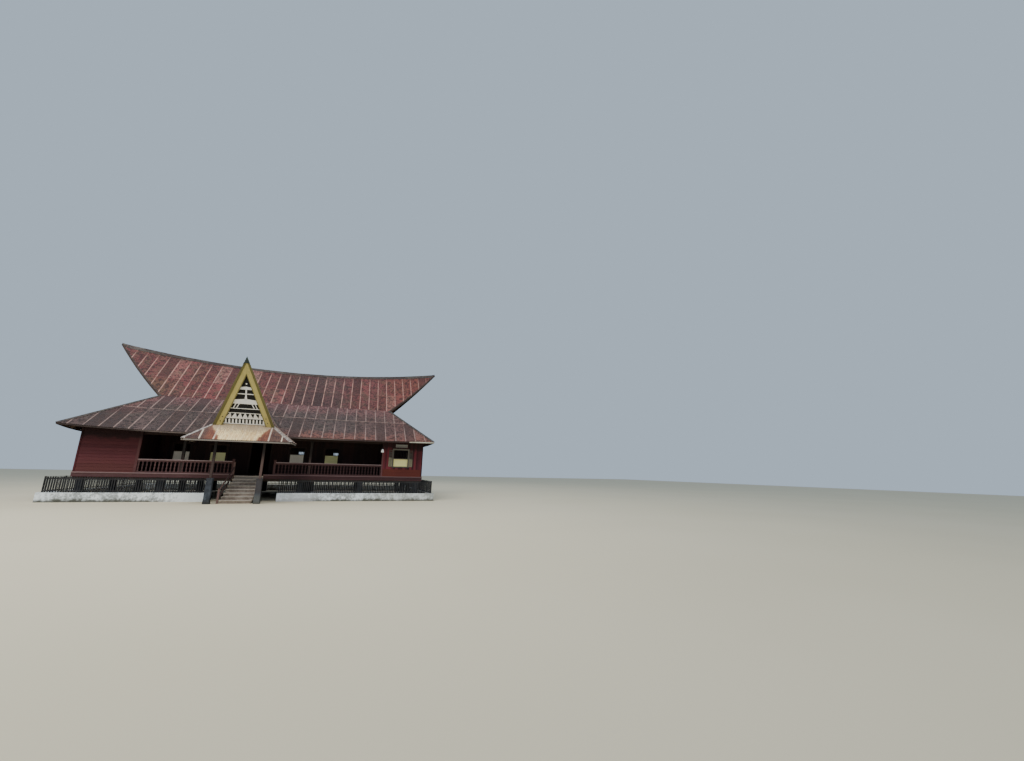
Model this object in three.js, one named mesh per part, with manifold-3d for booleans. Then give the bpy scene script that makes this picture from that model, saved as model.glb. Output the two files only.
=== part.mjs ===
// A raised timber house of the Angkola Batak, from ground level up.
// Millimetres, +Z up. X runs along the front, Y from the face of the front wall towards the back.
// The last lines set the whole house with the middle of its footprint on the origin.
import * as THREE from 'three';
import { mergeVertices } from 'three/addons/utils/BufferGeometryUtils.js';
import Module from 'manifold-3d';

const wasm = await Module();
wasm.setup();

// Clearance between neighbours that are cut to each other
const GAP = 0.3;

// House body
const WALL_HALF = 8000;
const BODY_DEPTH = 9600;
const BODY_MIDDLE = BODY_DEPTH / 2;
const BOARD_WALL = 60;
const FLOOR_TOP = 1230;
const DECK = 100;
const INNER_WALL_TOP = 3600;
const UNCUT_WALL_TOP = 4600;

// Verandah
const VERANDAH_HALF = 5700;
const VERANDAH_DEPTH = 2400;
const VERANDAH_POST = 120;
const VERANDAH_POSTS_X = [-3930, 1880];
const HEADER_BOTTOM = 3150;
const RAIL_TOP = 1960;
const RAIL_DEPTH = 70;
const BALUSTRADE_THICK = 50;
const BALUSTER_WIDTH = 110;
const BALUSTER_PITCH = 300;
const GAP_LEFT_X = -1650;
const GAP_RIGHT_X = 160;

// Under the floor
const BEARER = 180;
const PIER = 300;
const PIER_EDGE = 150;
const PIERS_PER_ROW = 6;
const PIER_ROWS = 4;
const EDGE_BOARD = 30;
const EDGE_BOARD_BOTTOM = 1100;
const EDGE_BOARD_TOP = 1300;

// Plinth wall and the picket fence on it
const PLINTH_REACH = 1006;
const PLINTH_HALF = 8610;
const PLINTH_THICK = 300;
const PLINTH_TOP = 410;
const PLINTH_GATE_X = [-2390, 610];
const FENCE_INSET = 130;
const FENCE_THICK = 40;
const FENCE_TOP = 1110;
const FENCE_RAIL = 60;
const PICKET_WIDTH = 40;
const PICKET_PITCH = 360;

// Openings
const WINDOW_WIDTH = 820;
const WINDOW_SILL = 1880;
const WINDOW_HEAD = 2830;
const DOOR_WIDTH = 1000;
const DOOR_HEAD = 3250;
const ROOM_WINDOW_X = 6730;
const VERANDAH_WINDOWS_X = [-4700, -3000, 980, 2880];
const REAR_WINDOWS_X = [-5800, -3450, 800, 3200, 5600];
const END_WINDOWS_Y = [2900, 6700];

// Main roof
const EAVE_REACH = 1200;
const EAVE_HALF = 8450;
const EAVE_Z = 3250;
const LIFT_START = 3500;
const LIFT_LEFT = 180;
const LIFT_RIGHT = 60;
const BREAK_HALF = 6074;
const BREAK_Y = 2098;
const BREAK_Z = 5362;
const TIP_HALF = 9306;
const RIDGE_TIP_Z = 8650;
const RIDGE_MIDDLE_Z = 7820;
const ROOF_THICK = 70;
const ROOF_STEPS = 16;
const RIDGE_CAP_HALF = 160;
const RIDGE_CAP_THICK = 30;
const GABLE_LEAN = Math.tan(THREE.MathUtils.degToRad(20));
const GABLE_THICK = 60;
const GABLE_OUTSIDE_BREAK = 30;

// Porch over the stair
const PORCH_X = -997;
const PORCH_POST_X = 994;
const PORCH_POST_Y = -2449;
const PORCH_PIER = 260;
const PORCH_PIER_TOP = 1150;
const PORCH_POST = 120;
const PORCH_EAVE = { half: 2233, y: -3050, z: 2881 };
const PORCH_BREAK = { half: 1200, y: -2250, z: 3700 };
const PORCH_SKIRT_THICK = 50;
const PORCH_FRAME_BOTTOM = 3300;
const PORCH_FRAME_TOP = 3560;

// Porch gable, which leans forward
const GABLE_APEX = { y: -3957, z: 6667 };
const GABLE_FOOT = { half: 1234, y: -2385, z: 3627 };
const FORWARD_LEAN = (GABLE_APEX.y - GABLE_FOOT.y) / (GABLE_APEX.z - GABLE_FOOT.z);
const BARGEBOARD_THICK = 60;
const BARGEBOARD_WIDTH = 300;
const GABLE_ROOF_THICK = 140;
const GABLE_ROOF_BASE_Z = 3740;
const GABLE_ROOF_TIP_DROP = 20;
const GABLE_ROOF_BASE_BACK_Y = -380;
const GABLE_ROOF_BACK_Y = 1650;
const GABLE_ROOF_BACK_Z = 5021;
const PANEL_THICK = 40;
const PANEL_FOOT_Y = -2300;

// Stair
const STAIR_X = [-1570, -250];
const STAIR_FOOT_Y = -2300;
const RISERS = 8;
const HANDRAIL_X = [-1640, -1580];
const HANDRAIL_BAR = 70;
const HANDRAIL_SPACING = 360;
const NEWEL = 80;
const NEWEL_CAP = 50;
const FOOT_NEWEL_AHEAD = 30;
const FOOT_RAIL_Z = 600;

const zinc = (color) => new THREE.MeshStandardMaterial({ color, roughness: 0.6, metalness: 0.3 });
const matte = (color) => new THREE.MeshStandardMaterial({ color, roughness: 0.85, metalness: 0 });
const MATERIALS = {
  upperRoof: zinc(0x7d4a3f),
  skirtRoof: zinc(0x6b4b42),
  porchRoof: zinc(0xb98f6c),
  ridge: zinc(0x9a8f88),
  maroonBoards: matte(0x4a2020),
  innerBoards: matte(0x5a2c26),
  deck: matte(0x5c4436),
  edgeBoards: matte(0xb58d84),
  greyTimber: matte(0x8f958c),
  pinkBoards: matte(0x9c6259),
  oliveBoards: matte(0x8c7f35),
  gablePanel: matte(0x1c1b1a),
  whitewash: matte(0xc9c8bd),
  concrete: matte(0x7f8587),
  stairStone: matte(0x75695c),
  darkIron: matte(0x2d2b2a),
};

const house = new THREE.Group();

function addMesh(name, geometry, material) {
  const mesh = new THREE.Mesh(geometry, material);
  mesh.name = name;
  house.add(mesh);
  return mesh;
}

// A box between two values on each axis, placed by its middle
function boxBetween([x0, x1], [y0, y1], [z0, z1]) {
  const geometry = new THREE.BoxGeometry(x1 - x0, y1 - y0, z1 - z0);
  return geometry.translate((x0 + x1) / 2, (y0 + y1) / 2, (z0 + z1) / 2);
}

function addBox(name, [x0, x1], [y0, y1], [z0, z1], material) {
  const mesh = addMesh(name, new THREE.BoxGeometry(x1 - x0, y1 - y0, z1 - z0), material);
  mesh.position.set((x0 + x1) / 2, (y0 + y1) / 2, (z0 + z1) / 2);
}

function toSolid(geometry) {
  const bare = geometry.clone();
  bare.deleteAttribute('normal');
  bare.deleteAttribute('uv');
  const merged = mergeVertices(bare, 1e-3);
  const mesh = new wasm.Mesh({
    numProp: 3,
    vertProperties: new Float32Array(merged.attributes.position.array),
    triVerts: new Uint32Array(merged.index.array),
  });
  return new wasm.Manifold(mesh);
}

function toGeometry(solid) {
  const mesh = solid.getMesh();
  const geometry = new THREE.BufferGeometry();
  geometry.setAttribute('position', new THREE.BufferAttribute(new Float32Array(mesh.vertProperties), 3));
  geometry.setIndex(new THREE.BufferAttribute(new Uint32Array(mesh.triVerts), 1));
  geometry.computeVertexNormals();
  return geometry;
}

const solidBox = (x, y, z) => toSolid(boxBetween(x, y, z));
const union = (solids) => solids.reduce((whole, solid) => whole.add(solid));
const cutBy = (solid, cutters) => cutters.reduce((left, cutter) => left.subtract(cutter), solid);
const lerp = THREE.MathUtils.lerp;

function extrude(outline, depth) {
  const shape = new THREE.Shape(outline.map(([a, b]) => new THREE.Vector2(a, b)));
  return new THREE.ExtrudeGeometry(shape, { depth, bevelEnabled: false });
}

// A flat panel drawn in X and Z, with its front face at y
function panelAlongX(outline, y, thick) {
  return extrude(outline, thick).rotateX(Math.PI / 2).translate(0, y + thick, 0);
}

// A flat panel drawn in Y and Z, with its lower X face at x
function panelAlongY(outline, x, thick) {
  return extrude(outline, thick).rotateX(Math.PI / 2).rotateZ(Math.PI / 2).translate(x, 0, 0);
}

// A roof sheet: point(u, v) is its upper face, with u from -1 to 1 and v from 0 to 1
function sheet(point, below, above, uSteps, vSteps) {
  const geometry = new THREE.BoxGeometry(2, 1, 1, uSteps, vSteps, 1);
  const position = geometry.attributes.position;
  for (let i = 0; i < position.count; i += 1) {
    const [x, y, z] = point(position.getX(i), position.getY(i) + 0.5);
    position.setXYZ(i, x, y, z + (position.getZ(i) > 0 ? above : -below));
  }
  geometry.computeVertexNormals();
  return geometry;
}

// Main roof, drawn for the front and turned about the middle of the body
const FAR = 3000;
const SIDES = {
  front: { turn: 0, eaveAlong: EAVE_HALF, eaveOut: BODY_MIDDLE + EAVE_REACH,
    breakAlong: BREAK_HALF, breakOut: BODY_MIDDLE - BREAK_Y },
  right: { turn: Math.PI / 2, eaveAlong: BODY_MIDDLE + EAVE_REACH, eaveOut: EAVE_HALF,
    breakAlong: BODY_MIDDLE - BREAK_Y, breakOut: BREAK_HALF },
};
SIDES.rear = { ...SIDES.front, turn: Math.PI };
SIDES.left = { ...SIDES.right, turn: -Math.PI / 2 };

function turned(turn, along, out) {
  const x = along * Math.cos(turn) + out * Math.sin(turn);
  const y = BODY_MIDDLE + along * Math.sin(turn) - out * Math.cos(turn);
  return [x, y];
}

function skirtPoint(side, inset) {
  return (u, v) => {
    const [eaveX] = turned(side.turn, u * side.eaveAlong, side.eaveOut);
    const lift = eaveX < 0 ? LIFT_LEFT : LIFT_RIGHT;
    const pastStart = Math.abs(u) * side.eaveAlong - LIFT_START;
    const nearCorner = Math.max(0, pastStart / (side.eaveAlong - LIFT_START));
    const along = u * (lerp(side.eaveAlong, side.breakAlong, v) - inset);
    const out = lerp(side.eaveOut, side.breakOut + inset / 2, v);
    const z = lerp(EAVE_Z + lift * nearCorner ** 2, BREAK_Z, v);
    return [...turned(side.turn, along, out), z];
  };
}

const ridgeZ = (x) => RIDGE_MIDDLE_Z + (RIDGE_TIP_Z - RIDGE_MIDDLE_Z) * (x / TIP_HALF) ** 2;

function upperPoint(turn, gap) {
  return (u, v) => {
    const along = u * (lerp(BREAK_HALF, TIP_HALF, v) - gap);
    const out = lerp(BODY_MIDDLE - BREAK_Y - gap / 2, gap / 2, v);
    return [...turned(turn, along, out), lerp(BREAK_Z, ridgeZ(along), v)];
  };
}

// Everything above or below the two upper slopes, for what stands under them or lies on them
const UPPER_TURNS = { front: 0, rear: Math.PI };
const upperCutters = (below, above) => Object.values(UPPER_TURNS).map((turn) => (
  toSolid(sheet(upperPoint(turn, -GAP), below, above, ROOF_STEPS, 4))
));

// Everything from just under a skirt roof upward, for cutting the wall tops
const aboveSkirts = Object.values(SIDES).map((side) => (
  toSolid(sheet(skirtPoint(side, -GAP), ROOF_THICK + 2 * GAP, FAR, ROOF_STEPS, 2))
));

// Everything below the skirt roofs of the two ends, for what stands over their upper edges
const belowEndSkirts = [SIDES.left, SIDES.right].map((side) => (
  toSolid(sheet(skirtPoint(side, -GAP), FAR, 2 * GAP, ROOF_STEPS, 2))
));

function addMainRoof() {
  for (const [name, side] of Object.entries(SIDES)) {
    const geometry = sheet(skirtPoint(side, GAP), ROOF_THICK, 0, ROOF_STEPS, 2);
    addMesh(`skirt_roof_${name}`, geometry, MATERIALS.skirtRoof);
  }
  for (const [name, turn] of Object.entries(UPPER_TURNS)) {
    const slope = toSolid(sheet(upperPoint(turn, GAP), ROOF_THICK, 0, ROOF_STEPS, 4));
    addMesh(`upper_roof_${name}`, toGeometry(cutBy(slope, belowEndSkirts)), MATERIALS.upperRoof);
  }
  addMesh('ridge_cap', ridgeCap(), MATERIALS.ridge);
}

function ridgeCap() {
  const geometry = new THREE.BoxGeometry(2, 2, 1, ROOF_STEPS, 2, 1);
  const position = geometry.attributes.position;
  const SUNK = 30;
  for (let i = 0; i < position.count; i += 1) {
    const x = position.getX(i) * TIP_HALF;
    const y = position.getY(i) * RIDGE_CAP_HALF;
    const slope = (ridgeZ(x) - BREAK_Z) / (BODY_MIDDLE - BREAK_Y);
    const top = ridgeZ(x) + RIDGE_CAP_THICK - slope * Math.abs(y);
    position.setXYZ(i, x, BODY_MIDDLE + y, position.getZ(i) > 0 ? top : top - RIDGE_CAP_THICK - SUNK);
  }
  return toGeometry(cutBy(toSolid(geometry), upperCutters(FAR, 3 * GAP)));
}

// An end wall under the overhang, standing on the side skirt's upper edge
function addGableEnds() {
  const SAMPLES = 6;
  const BASE_Z = BREAK_Z - 60;
  const BASE_MARGIN = 110;
  const PAST_UNDERSIDE = 40;
  const faceX = (z) => BREAK_HALF + GABLE_OUTSIDE_BREAK + GABLE_LEAN * (z - BREAK_Z);
  const slopeUnder = (y) => {
    const v = (BODY_MIDDLE - Math.abs(y - BODY_MIDDLE) - BREAK_Y) / (BODY_MIDDLE - BREAK_Y);
    let z = BREAK_Z;
    for (let pass = 0; pass < 6; pass += 1) {
      z = lerp(BREAK_Z, ridgeZ(faceX(z) - GABLE_THICK), v) - ROOF_THICK + PAST_UNDERSIDE;
    }
    return z;
  };
  const outline = [[BREAK_Y + BASE_MARGIN, BASE_Z], [BODY_DEPTH - BREAK_Y - BASE_MARGIN, BASE_Z]];
  for (let i = 0; i <= SAMPLES; i += 1) {
    const y = lerp(BODY_DEPTH - BREAK_Y - BASE_MARGIN, BREAK_Y + BASE_MARGIN, i / SAMPLES);
    outline.push([y, slopeUnder(y)]);
  }
  const aboveUpper = upperCutters(ROOF_THICK + 3 * GAP, FAR);
  for (const [name, sign] of [['left', -1], ['right', 1]]) {
    const geometry = panelAlongY(outline, sign > 0 ? -GABLE_THICK : 0, GABLE_THICK);
    const position = geometry.attributes.position;
    for (let i = 0; i < position.count; i += 1) {
      position.setX(i, sign * faceX(position.getZ(i)) + position.getX(i));
    }
    const wall = cutBy(toSolid(geometry), [...belowEndSkirts, ...aboveUpper]);
    addMesh(`gable_end_${name}`, toGeometry(wall), MATERIALS.maroonBoards);
  }
}

// Walls
const aroundMiddle = (middle, width) => [middle - width / 2, middle + width / 2];
const windowZ = [WINDOW_SILL, WINDOW_HEAD];

function addCutWall(name, wall, holes) {
  addMesh(name, toGeometry(cutBy(wall, [...holes, ...aboveSkirts])), MATERIALS.maroonBoards);
}

function addWalls() {
  const frontY = [0, BOARD_WALL];
  const rearY = [BODY_DEPTH - BOARD_WALL, BODY_DEPTH];
  const endY = [BOARD_WALL, BODY_DEPTH - BOARD_WALL];
  const outerZ = [FLOOR_TOP, UNCUT_WALL_TOP];
  const windowInX = (x, wallY) => solidBox(aroundMiddle(x, WINDOW_WIDTH), wallY, windowZ);
  const leftRoom = solidBox([-WALL_HALF, -VERANDAH_HALF], frontY, outerZ);
  const rightRoom = solidBox([VERANDAH_HALF, WALL_HALF], frontY, outerZ);
  const rear = solidBox([-WALL_HALF, WALL_HALF], rearY, outerZ);
  addCutWall('front_wall_left_room', leftRoom, []);
  addCutWall('front_wall_right_room', rightRoom, [windowInX(ROOM_WINDOW_X, frontY)]);
  addCutWall('rear_wall', rear, REAR_WINDOWS_X.map((x) => windowInX(x, rearY)));
  for (const [name, x] of [['left', -WALL_HALF], ['right', WALL_HALF - BOARD_WALL]]) {
    const wallX = [x, x + BOARD_WALL];
    const holes = END_WINDOWS_Y.map((y) => solidBox(wallX, aroundMiddle(y, WINDOW_WIDTH), windowZ));
    addCutWall(`end_wall_${name}`, solidBox(wallX, endY, outerZ), holes);
  }

  const sideY = [BOARD_WALL, VERANDAH_DEPTH];
  const innerZ = [FLOOR_TOP, INNER_WALL_TOP];
  const outer = VERANDAH_HALF + BOARD_WALL;
  addBox('room_wall_left', [-outer, -VERANDAH_HALF], sideY, innerZ, MATERIALS.innerBoards);
  addBox('room_wall_right', [VERANDAH_HALF, outer], sideY, innerZ, MATERIALS.innerBoards);

  // The doorway stands in line with the stair
  const backY = [VERANDAH_DEPTH, VERANDAH_DEPTH + BOARD_WALL];
  const doorX = aroundMiddle((STAIR_X[0] + STAIR_X[1]) / 2, DOOR_WIDTH);
  const holes = VERANDAH_WINDOWS_X.map((x) => windowInX(x, backY));
  holes.push(solidBox(doorX, backY, [FLOOR_TOP, DOOR_HEAD]));
  const backWall = cutBy(solidBox([-outer, outer], backY, innerZ), holes);
  addMesh('verandah_back_wall', toGeometry(backWall), MATERIALS.innerBoards);
}

// A frame of upright bars between two rails, with box(along, z) giving each piece
function railing(box, [from, to], [bottom, top], rail, bar, pitch) {
  const bays = Math.round((to - from - bar) / pitch);
  const step = (to - from - bar) / bays;
  const pieces = [box([from, to], [bottom, bottom + rail]), box([from, to], [top - rail, top])];
  for (let i = 0; i <= bays; i += 1) {
    pieces.push(box([from + i * step, from + i * step + bar], [bottom, top]));
  }
  return toGeometry(union(pieces));
}

function addVerandah() {
  const postY = [BOARD_WALL, BOARD_WALL + VERANDAH_POST];
  VERANDAH_POSTS_X.forEach((x, i) => {
    const postX = aroundMiddle(x, VERANDAH_POST);
    addBox(`verandah_post_${i + 1}`, postX, postY, [FLOOR_TOP, HEADER_BOTTOM], MATERIALS.greyTimber);
  });
  const header = solidBox([-VERANDAH_HALF, VERANDAH_HALF], postY, [HEADER_BOTTOM, UNCUT_WALL_TOP]);
  addMesh('verandah_header', toGeometry(cutBy(header, aboveSkirts)), MATERIALS.greyTimber);
  const board = (x, z) => solidBox(x, [0, BALUSTRADE_THICK], z);
  const railZ = [FLOOR_TOP, RAIL_TOP];
  const spans = { left: [-VERANDAH_HALF, GAP_LEFT_X], right: [GAP_RIGHT_X, VERANDAH_HALF] };
  for (const [name, span] of Object.entries(spans)) {
    const bars = railing(board, span, railZ, RAIL_DEPTH, BALUSTER_WIDTH, BALUSTER_PITCH);
    addMesh(`balustrade_${name}`, bars, MATERIALS.pinkBoards);
  }
}

// Floor and what carries it
function addFloor() {
  const deckBottom = FLOOR_TOP - DECK;
  addBox('floor_deck', [-WALL_HALF, WALL_HALF], [0, BODY_DEPTH], [deckBottom, FLOOR_TOP], MATERIALS.deck);
  const firstX = -WALL_HALF + PIER;
  const xStep = -2 * firstX / (PIERS_PER_ROW - 1);
  const yStep = (BODY_DEPTH - 2 * PIER_EDGE) / (PIER_ROWS - 1);
  const beamZ = [deckBottom - BEARER, deckBottom];
  for (let row = 0; row < PIER_ROWS; row += 1) {
    const y = PIER_EDGE + row * yStep;
    const solids = [solidBox([-WALL_HALF, WALL_HALF], aroundMiddle(y, BEARER), beamZ)];
    for (let i = 0; i < PIERS_PER_ROW; i += 1) {
      const pierX = aroundMiddle(firstX + i * xStep, PIER);
      solids.push(solidBox(pierX, aroundMiddle(y, PIER), [0, deckBottom - BEARER]));
    }
    addMesh(`pier_row_${row + 1}`, toGeometry(union(solids)), MATERIALS.concrete);
  }
  const edge = ringWithGate(WALL_HALF + EDGE_BOARD, EDGE_BOARD, EDGE_BOARD, STAIR_X);
  const edgeGeometry = extrude(edge, EDGE_BOARD_TOP - EDGE_BOARD_BOTTOM);
  addMesh('floor_edge_board', edgeGeometry, MATERIALS.edgeBoards).position.z = EDGE_BOARD_BOTTOM;
}

// Outline in plan of a wall round the body, open at the front between two X values
function ringWithGate(half, reach, thick, [gateLeft, gateRight]) {
  const back = BODY_DEPTH + reach;
  const inner = half - thick;
  return [
    [gateLeft, -reach], [gateLeft, -reach + thick], [-inner, -reach + thick], [-inner, back - thick],
    [inner, back - thick], [inner, -reach + thick], [gateRight, -reach + thick], [gateRight, -reach],
    [half, -reach], [half, back], [-half, back], [-half, -reach],
  ];
}

function addPlinth() {
  const ring = ringWithGate(PLINTH_HALF, PLINTH_REACH, PLINTH_THICK, PLINTH_GATE_X);
  addMesh('plinth', extrude(ring, PLINTH_TOP), MATERIALS.whitewash);
  const half = PLINTH_HALF - FENCE_INSET;
  const front = FENCE_INSET - PLINTH_REACH;
  const back = BODY_DEPTH - front;
  const [gateLeft, gateRight] = PLINTH_GATE_X;
  const alongX = (y) => (x, z) => solidBox(x, [y, y + FENCE_THICK], z);
  const alongY = (x) => (y, z) => solidBox([x, x + FENCE_THICK], y, z);
  const sideSpan = [front + FENCE_THICK, back - FENCE_THICK];
  const panels = {
    front_left: [alongX(front), [-half, gateLeft - FENCE_THICK]],
    front_right: [alongX(front), [gateRight + FENCE_THICK, half]],
    rear: [alongX(back - FENCE_THICK), [-half, half]],
    left: [alongY(-half), sideSpan],
    right: [alongY(half - FENCE_THICK), sideSpan],
  };
  for (const [name, [box, span]] of Object.entries(panels)) {
    const bars = railing(box, span, [PLINTH_TOP, FENCE_TOP], FENCE_RAIL, PICKET_WIDTH, PICKET_PITCH);
    addMesh(`fence_${name}`, bars, MATERIALS.darkIron);
  }
}

// Stair of solid masonry with its timber handrail on the left
function addStair() {
  const rise = FLOOR_TOP / RISERS;
  const going = (-EDGE_BOARD - STAIR_FOOT_Y) / (RISERS - 1);
  const outline = [[0, 0], [STAIR_FOOT_Y, 0]];
  for (let step = 1; step < RISERS; step += 1) {
    outline.push([STAIR_FOOT_Y + (step - 1) * going, step * rise]);
    outline.push([STAIR_FOOT_Y + step * going, step * rise]);
  }
  outline.push([-EDGE_BOARD, FLOOR_TOP], [0, FLOOR_TOP]);
  addMesh('stair_flight', panelAlongY(outline, STAIR_X[0], STAIR_X[1] - STAIR_X[0]), MATERIALS.stairStone);
  addMesh('stair_handrail', handrail(rise / going), MATERIALS.greyTimber);
}

function handrail(slope) {
  const footFront = STAIR_FOOT_Y - FOOT_NEWEL_AHEAD;
  const footY = [footFront, footFront + NEWEL];
  const headY = [-EDGE_BOARD - NEWEL, -EDGE_BOARD];
  const upper = (y) => FOOT_RAIL_Z + slope * (y - footY[0]);
  const lower = (y) => upper(y) - HANDRAIL_SPACING;
  const outline = [
    [footY[0], 0], [footY[1], 0], [footY[1], lower(footY[1]) - HANDRAIL_BAR],
    [headY[0], lower(headY[0]) - HANDRAIL_BAR], [headY[0], EDGE_BOARD_BOTTOM], [headY[1], EDGE_BOARD_BOTTOM],
    [headY[1], upper(headY[1]) + NEWEL_CAP], [headY[0], upper(headY[1]) + NEWEL_CAP],
    [headY[0], upper(headY[0])], [footY[1], upper(footY[1])],
    [footY[1], upper(footY[1]) + NEWEL_CAP], [footY[0], upper(footY[1]) + NEWEL_CAP],
  ];
  const hole = [
    [footY[1], lower(footY[1])], [headY[0], lower(headY[0])],
    [headY[0], upper(headY[0]) - HANDRAIL_BAR], [footY[1], upper(footY[1]) - HANDRAIL_BAR],
  ];
  const [whole, between] = [outline, hole].map((points) => (
    toSolid(panelAlongY(points, HANDRAIL_X[0], HANDRAIL_X[1] - HANDRAIL_X[0]))
  ));
  return toGeometry(whole.subtract(between));
}

// Porch roofs, with points given from the middle of the porch
const inPorch = (point) => (u, v) => {
  const [x, y, z] = point(u, v);
  return [PORCH_X + x, y, z];
};

function porchFrontPoint(inset) {
  return inPorch((u, v) => {
    const half = lerp(PORCH_EAVE.half, PORCH_BREAK.half, v) - inset;
    return [u * half, lerp(PORCH_EAVE.y, PORCH_BREAK.y, v), lerp(PORCH_EAVE.z, PORCH_BREAK.z, v)];
  });
}

// The side skirts run back until the main roof cuts them
const PORCH_SKIRT_BACK = -450;
function porchSidePoint(sign) {
  return inPorch((u, v) => {
    const front = lerp(PORCH_EAVE.y, PORCH_BREAK.y, v);
    const y = lerp(front, PORCH_SKIRT_BACK, (1 + sign * u) / 2);
    const x = lerp(PORCH_EAVE.half, PORCH_BREAK.half + GAP, v);
    return [sign * x, y, lerp(PORCH_EAVE.z, PORCH_BREAK.z, v)];
  });
}

// Gable roof slope from its leaning front edge back into the main roof
function porchGablePoint(sign) {
  return inPorch((u, v) => {
    const back = (1 + sign * u) / 2;
    const frontZ = lerp(GABLE_ROOF_BASE_Z, GABLE_APEX.z - GABLE_ROOF_TIP_DROP, v);
    const backZ = lerp(GABLE_ROOF_BASE_Z, GABLE_ROOF_BACK_Z, v);
    const frontY = GABLE_FOOT.y + FORWARD_LEAN * (frontZ - GABLE_FOOT.z);
    const y = lerp(frontY, lerp(GABLE_ROOF_BASE_BACK_Y, GABLE_ROOF_BACK_Y, v), back);
    return [sign * lerp(PORCH_BREAK.half, GAP / 2, v), y, lerp(frontZ, backZ, back)];
  });
}

// All that lies under the upper face of the main skirt roof, for what lands on it
function underMainRoof() {
  const AHEAD_OF_EAVE = 20;
  const reach = EAVE_REACH + AHEAD_OF_EAVE;
  const top = (y) => lerp(EAVE_Z, BREAK_Z, (y + EAVE_REACH) / (BREAK_Y + EAVE_REACH)) + GAP;
  const outline = [[-reach, 0], [BREAK_Y, 0], [BREAK_Y, top(BREAK_Y)], [-EAVE_REACH, top(-EAVE_REACH)],
    [-reach, top(-EAVE_REACH)]];
  return toSolid(panelAlongY(outline, PORCH_X - LIFT_START, 2 * LIFT_START));
}

function addPorch() {
  const mainRoof = underMainRoof();
  const frontBelow = toSolid(sheet(porchFrontPoint(-1), FAR, GAP, 1, 1));
  const frontAbove = toSolid(sheet(porchFrontPoint(-1), PORCH_SKIRT_THICK + GAP, FAR, 1, 1));
  const boards = inFrontOfGable();

  for (const [name, sign] of [['left', -1], ['right', 1]]) {
    const x = PORCH_X + sign * PORCH_POST_X;
    const square = (side) => [aroundMiddle(x, side), aroundMiddle(PORCH_POST_Y, side)];
    addBox(`porch_pier_${name}`, ...square(PORCH_PIER), [0, PORCH_PIER_TOP], MATERIALS.concrete);
    const postZ = [PORCH_PIER_TOP, PORCH_FRAME_BOTTOM];
    addBox(`porch_post_${name}`, ...square(PORCH_POST), postZ, MATERIALS.greyTimber);
    const side = toSolid(sheet(porchSidePoint(sign), PORCH_SKIRT_THICK, 0, 1, 1));
    const sideBelow = toSolid(sheet(porchSidePoint(sign), FAR, GAP, 1, 1));
    addMesh(`porch_skirt_${name}`, toGeometry(side.subtract(mainRoof)), MATERIALS.porchRoof);
    const slope = toSolid(sheet(porchGablePoint(sign), GABLE_ROOF_THICK, 0, 4, 4));
    const slopeRoof = toGeometry(cutBy(slope, [mainRoof, frontBelow, boards]));
    addMesh(`porch_gable_roof_${name}`, slopeRoof, MATERIALS.upperRoof);
    const board = toGeometry(cutBy(bargeboard(sign), [frontBelow, sideBelow]));
    addMesh(`bargeboard_${name}`, board, MATERIALS.oliveBoards);
  }
  addMesh('porch_skirt_front', sheet(porchFrontPoint(GAP), PORCH_SKIRT_THICK, 0, 1, 1), MATERIALS.porchRoof);
  addMesh('porch_frame', toGeometry(cutBy(porchFrame(), [mainRoof, frontAbove])), MATERIALS.greyTimber);
  addMesh('gable_panel', toGeometry(gablePanel().subtract(frontBelow)), MATERIALS.gablePanel);
}

function porchFrame() {
  const beamZ = [PORCH_FRAME_BOTTOM, PORCH_FRAME_TOP];
  const outer = PORCH_POST_X + PORCH_POST / 2;
  const beams = [solidBox(aroundMiddle(PORCH_X, 2 * outer), aroundMiddle(PORCH_POST_Y, PORCH_POST), beamZ)];
  for (const sign of [-1, 1]) {
    const x = PORCH_X + sign * PORCH_POST_X;
    beams.push(solidBox(aroundMiddle(x, PORCH_POST), [PORCH_POST_Y, 0], beamZ));
  }
  return union(beams);
}

// Leans a panel drawn upright in X and Z so that it is parallel to the gable's front
function leanForward(geometry, footY, footZ) {
  const position = geometry.attributes.position;
  for (let i = 0; i < position.count; i += 1) {
    const lean = FORWARD_LEAN * (position.getZ(i) - footZ);
    position.setY(i, footY + position.getY(i) + lean);
  }
  return geometry;
}

// All that lies in front of the bargeboards' back faces
function inFrontOfGable() {
  const [x0, x1] = aroundMiddle(PORCH_X, 2 * PORCH_EAVE.half);
  const outline = [[x0, 0], [x1, 0], [x1, GABLE_APEX.z + FAR], [x0, GABLE_APEX.z + FAR]];
  const slab = panelAlongX(outline, -FAR, FAR + BARGEBOARD_THICK + GAP);
  return toSolid(leanForward(slab, GABLE_FOOT.y, GABLE_FOOT.z));
}

function bargeboard(sign) {
  const FOOT_DROP = 100;
  const slope = GABLE_FOOT.half / (GABLE_APEX.z - GABLE_FOOT.z);
  const across = BARGEBOARD_WIDTH * Math.hypot(1, slope);
  const outerX = (z) => slope * (GABLE_APEX.z - z);
  const footZ = GABLE_FOOT.z - FOOT_DROP;
  const innerTopZ = GABLE_APEX.z - across / slope;
  const outline = [
    [GAP / 2, innerTopZ - GAP], [outerX(footZ) - across, footZ], [outerX(footZ), footZ],
    [GAP / 2, GABLE_APEX.z - GAP],
  ].map(([x, z]) => [PORCH_X + sign * x, z]);
  if (sign > 0) outline.reverse();
  const board = panelAlongX(outline, 0, BARGEBOARD_THICK);
  return toSolid(leanForward(board, GABLE_FOOT.y, GABLE_FOOT.z));
}

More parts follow.
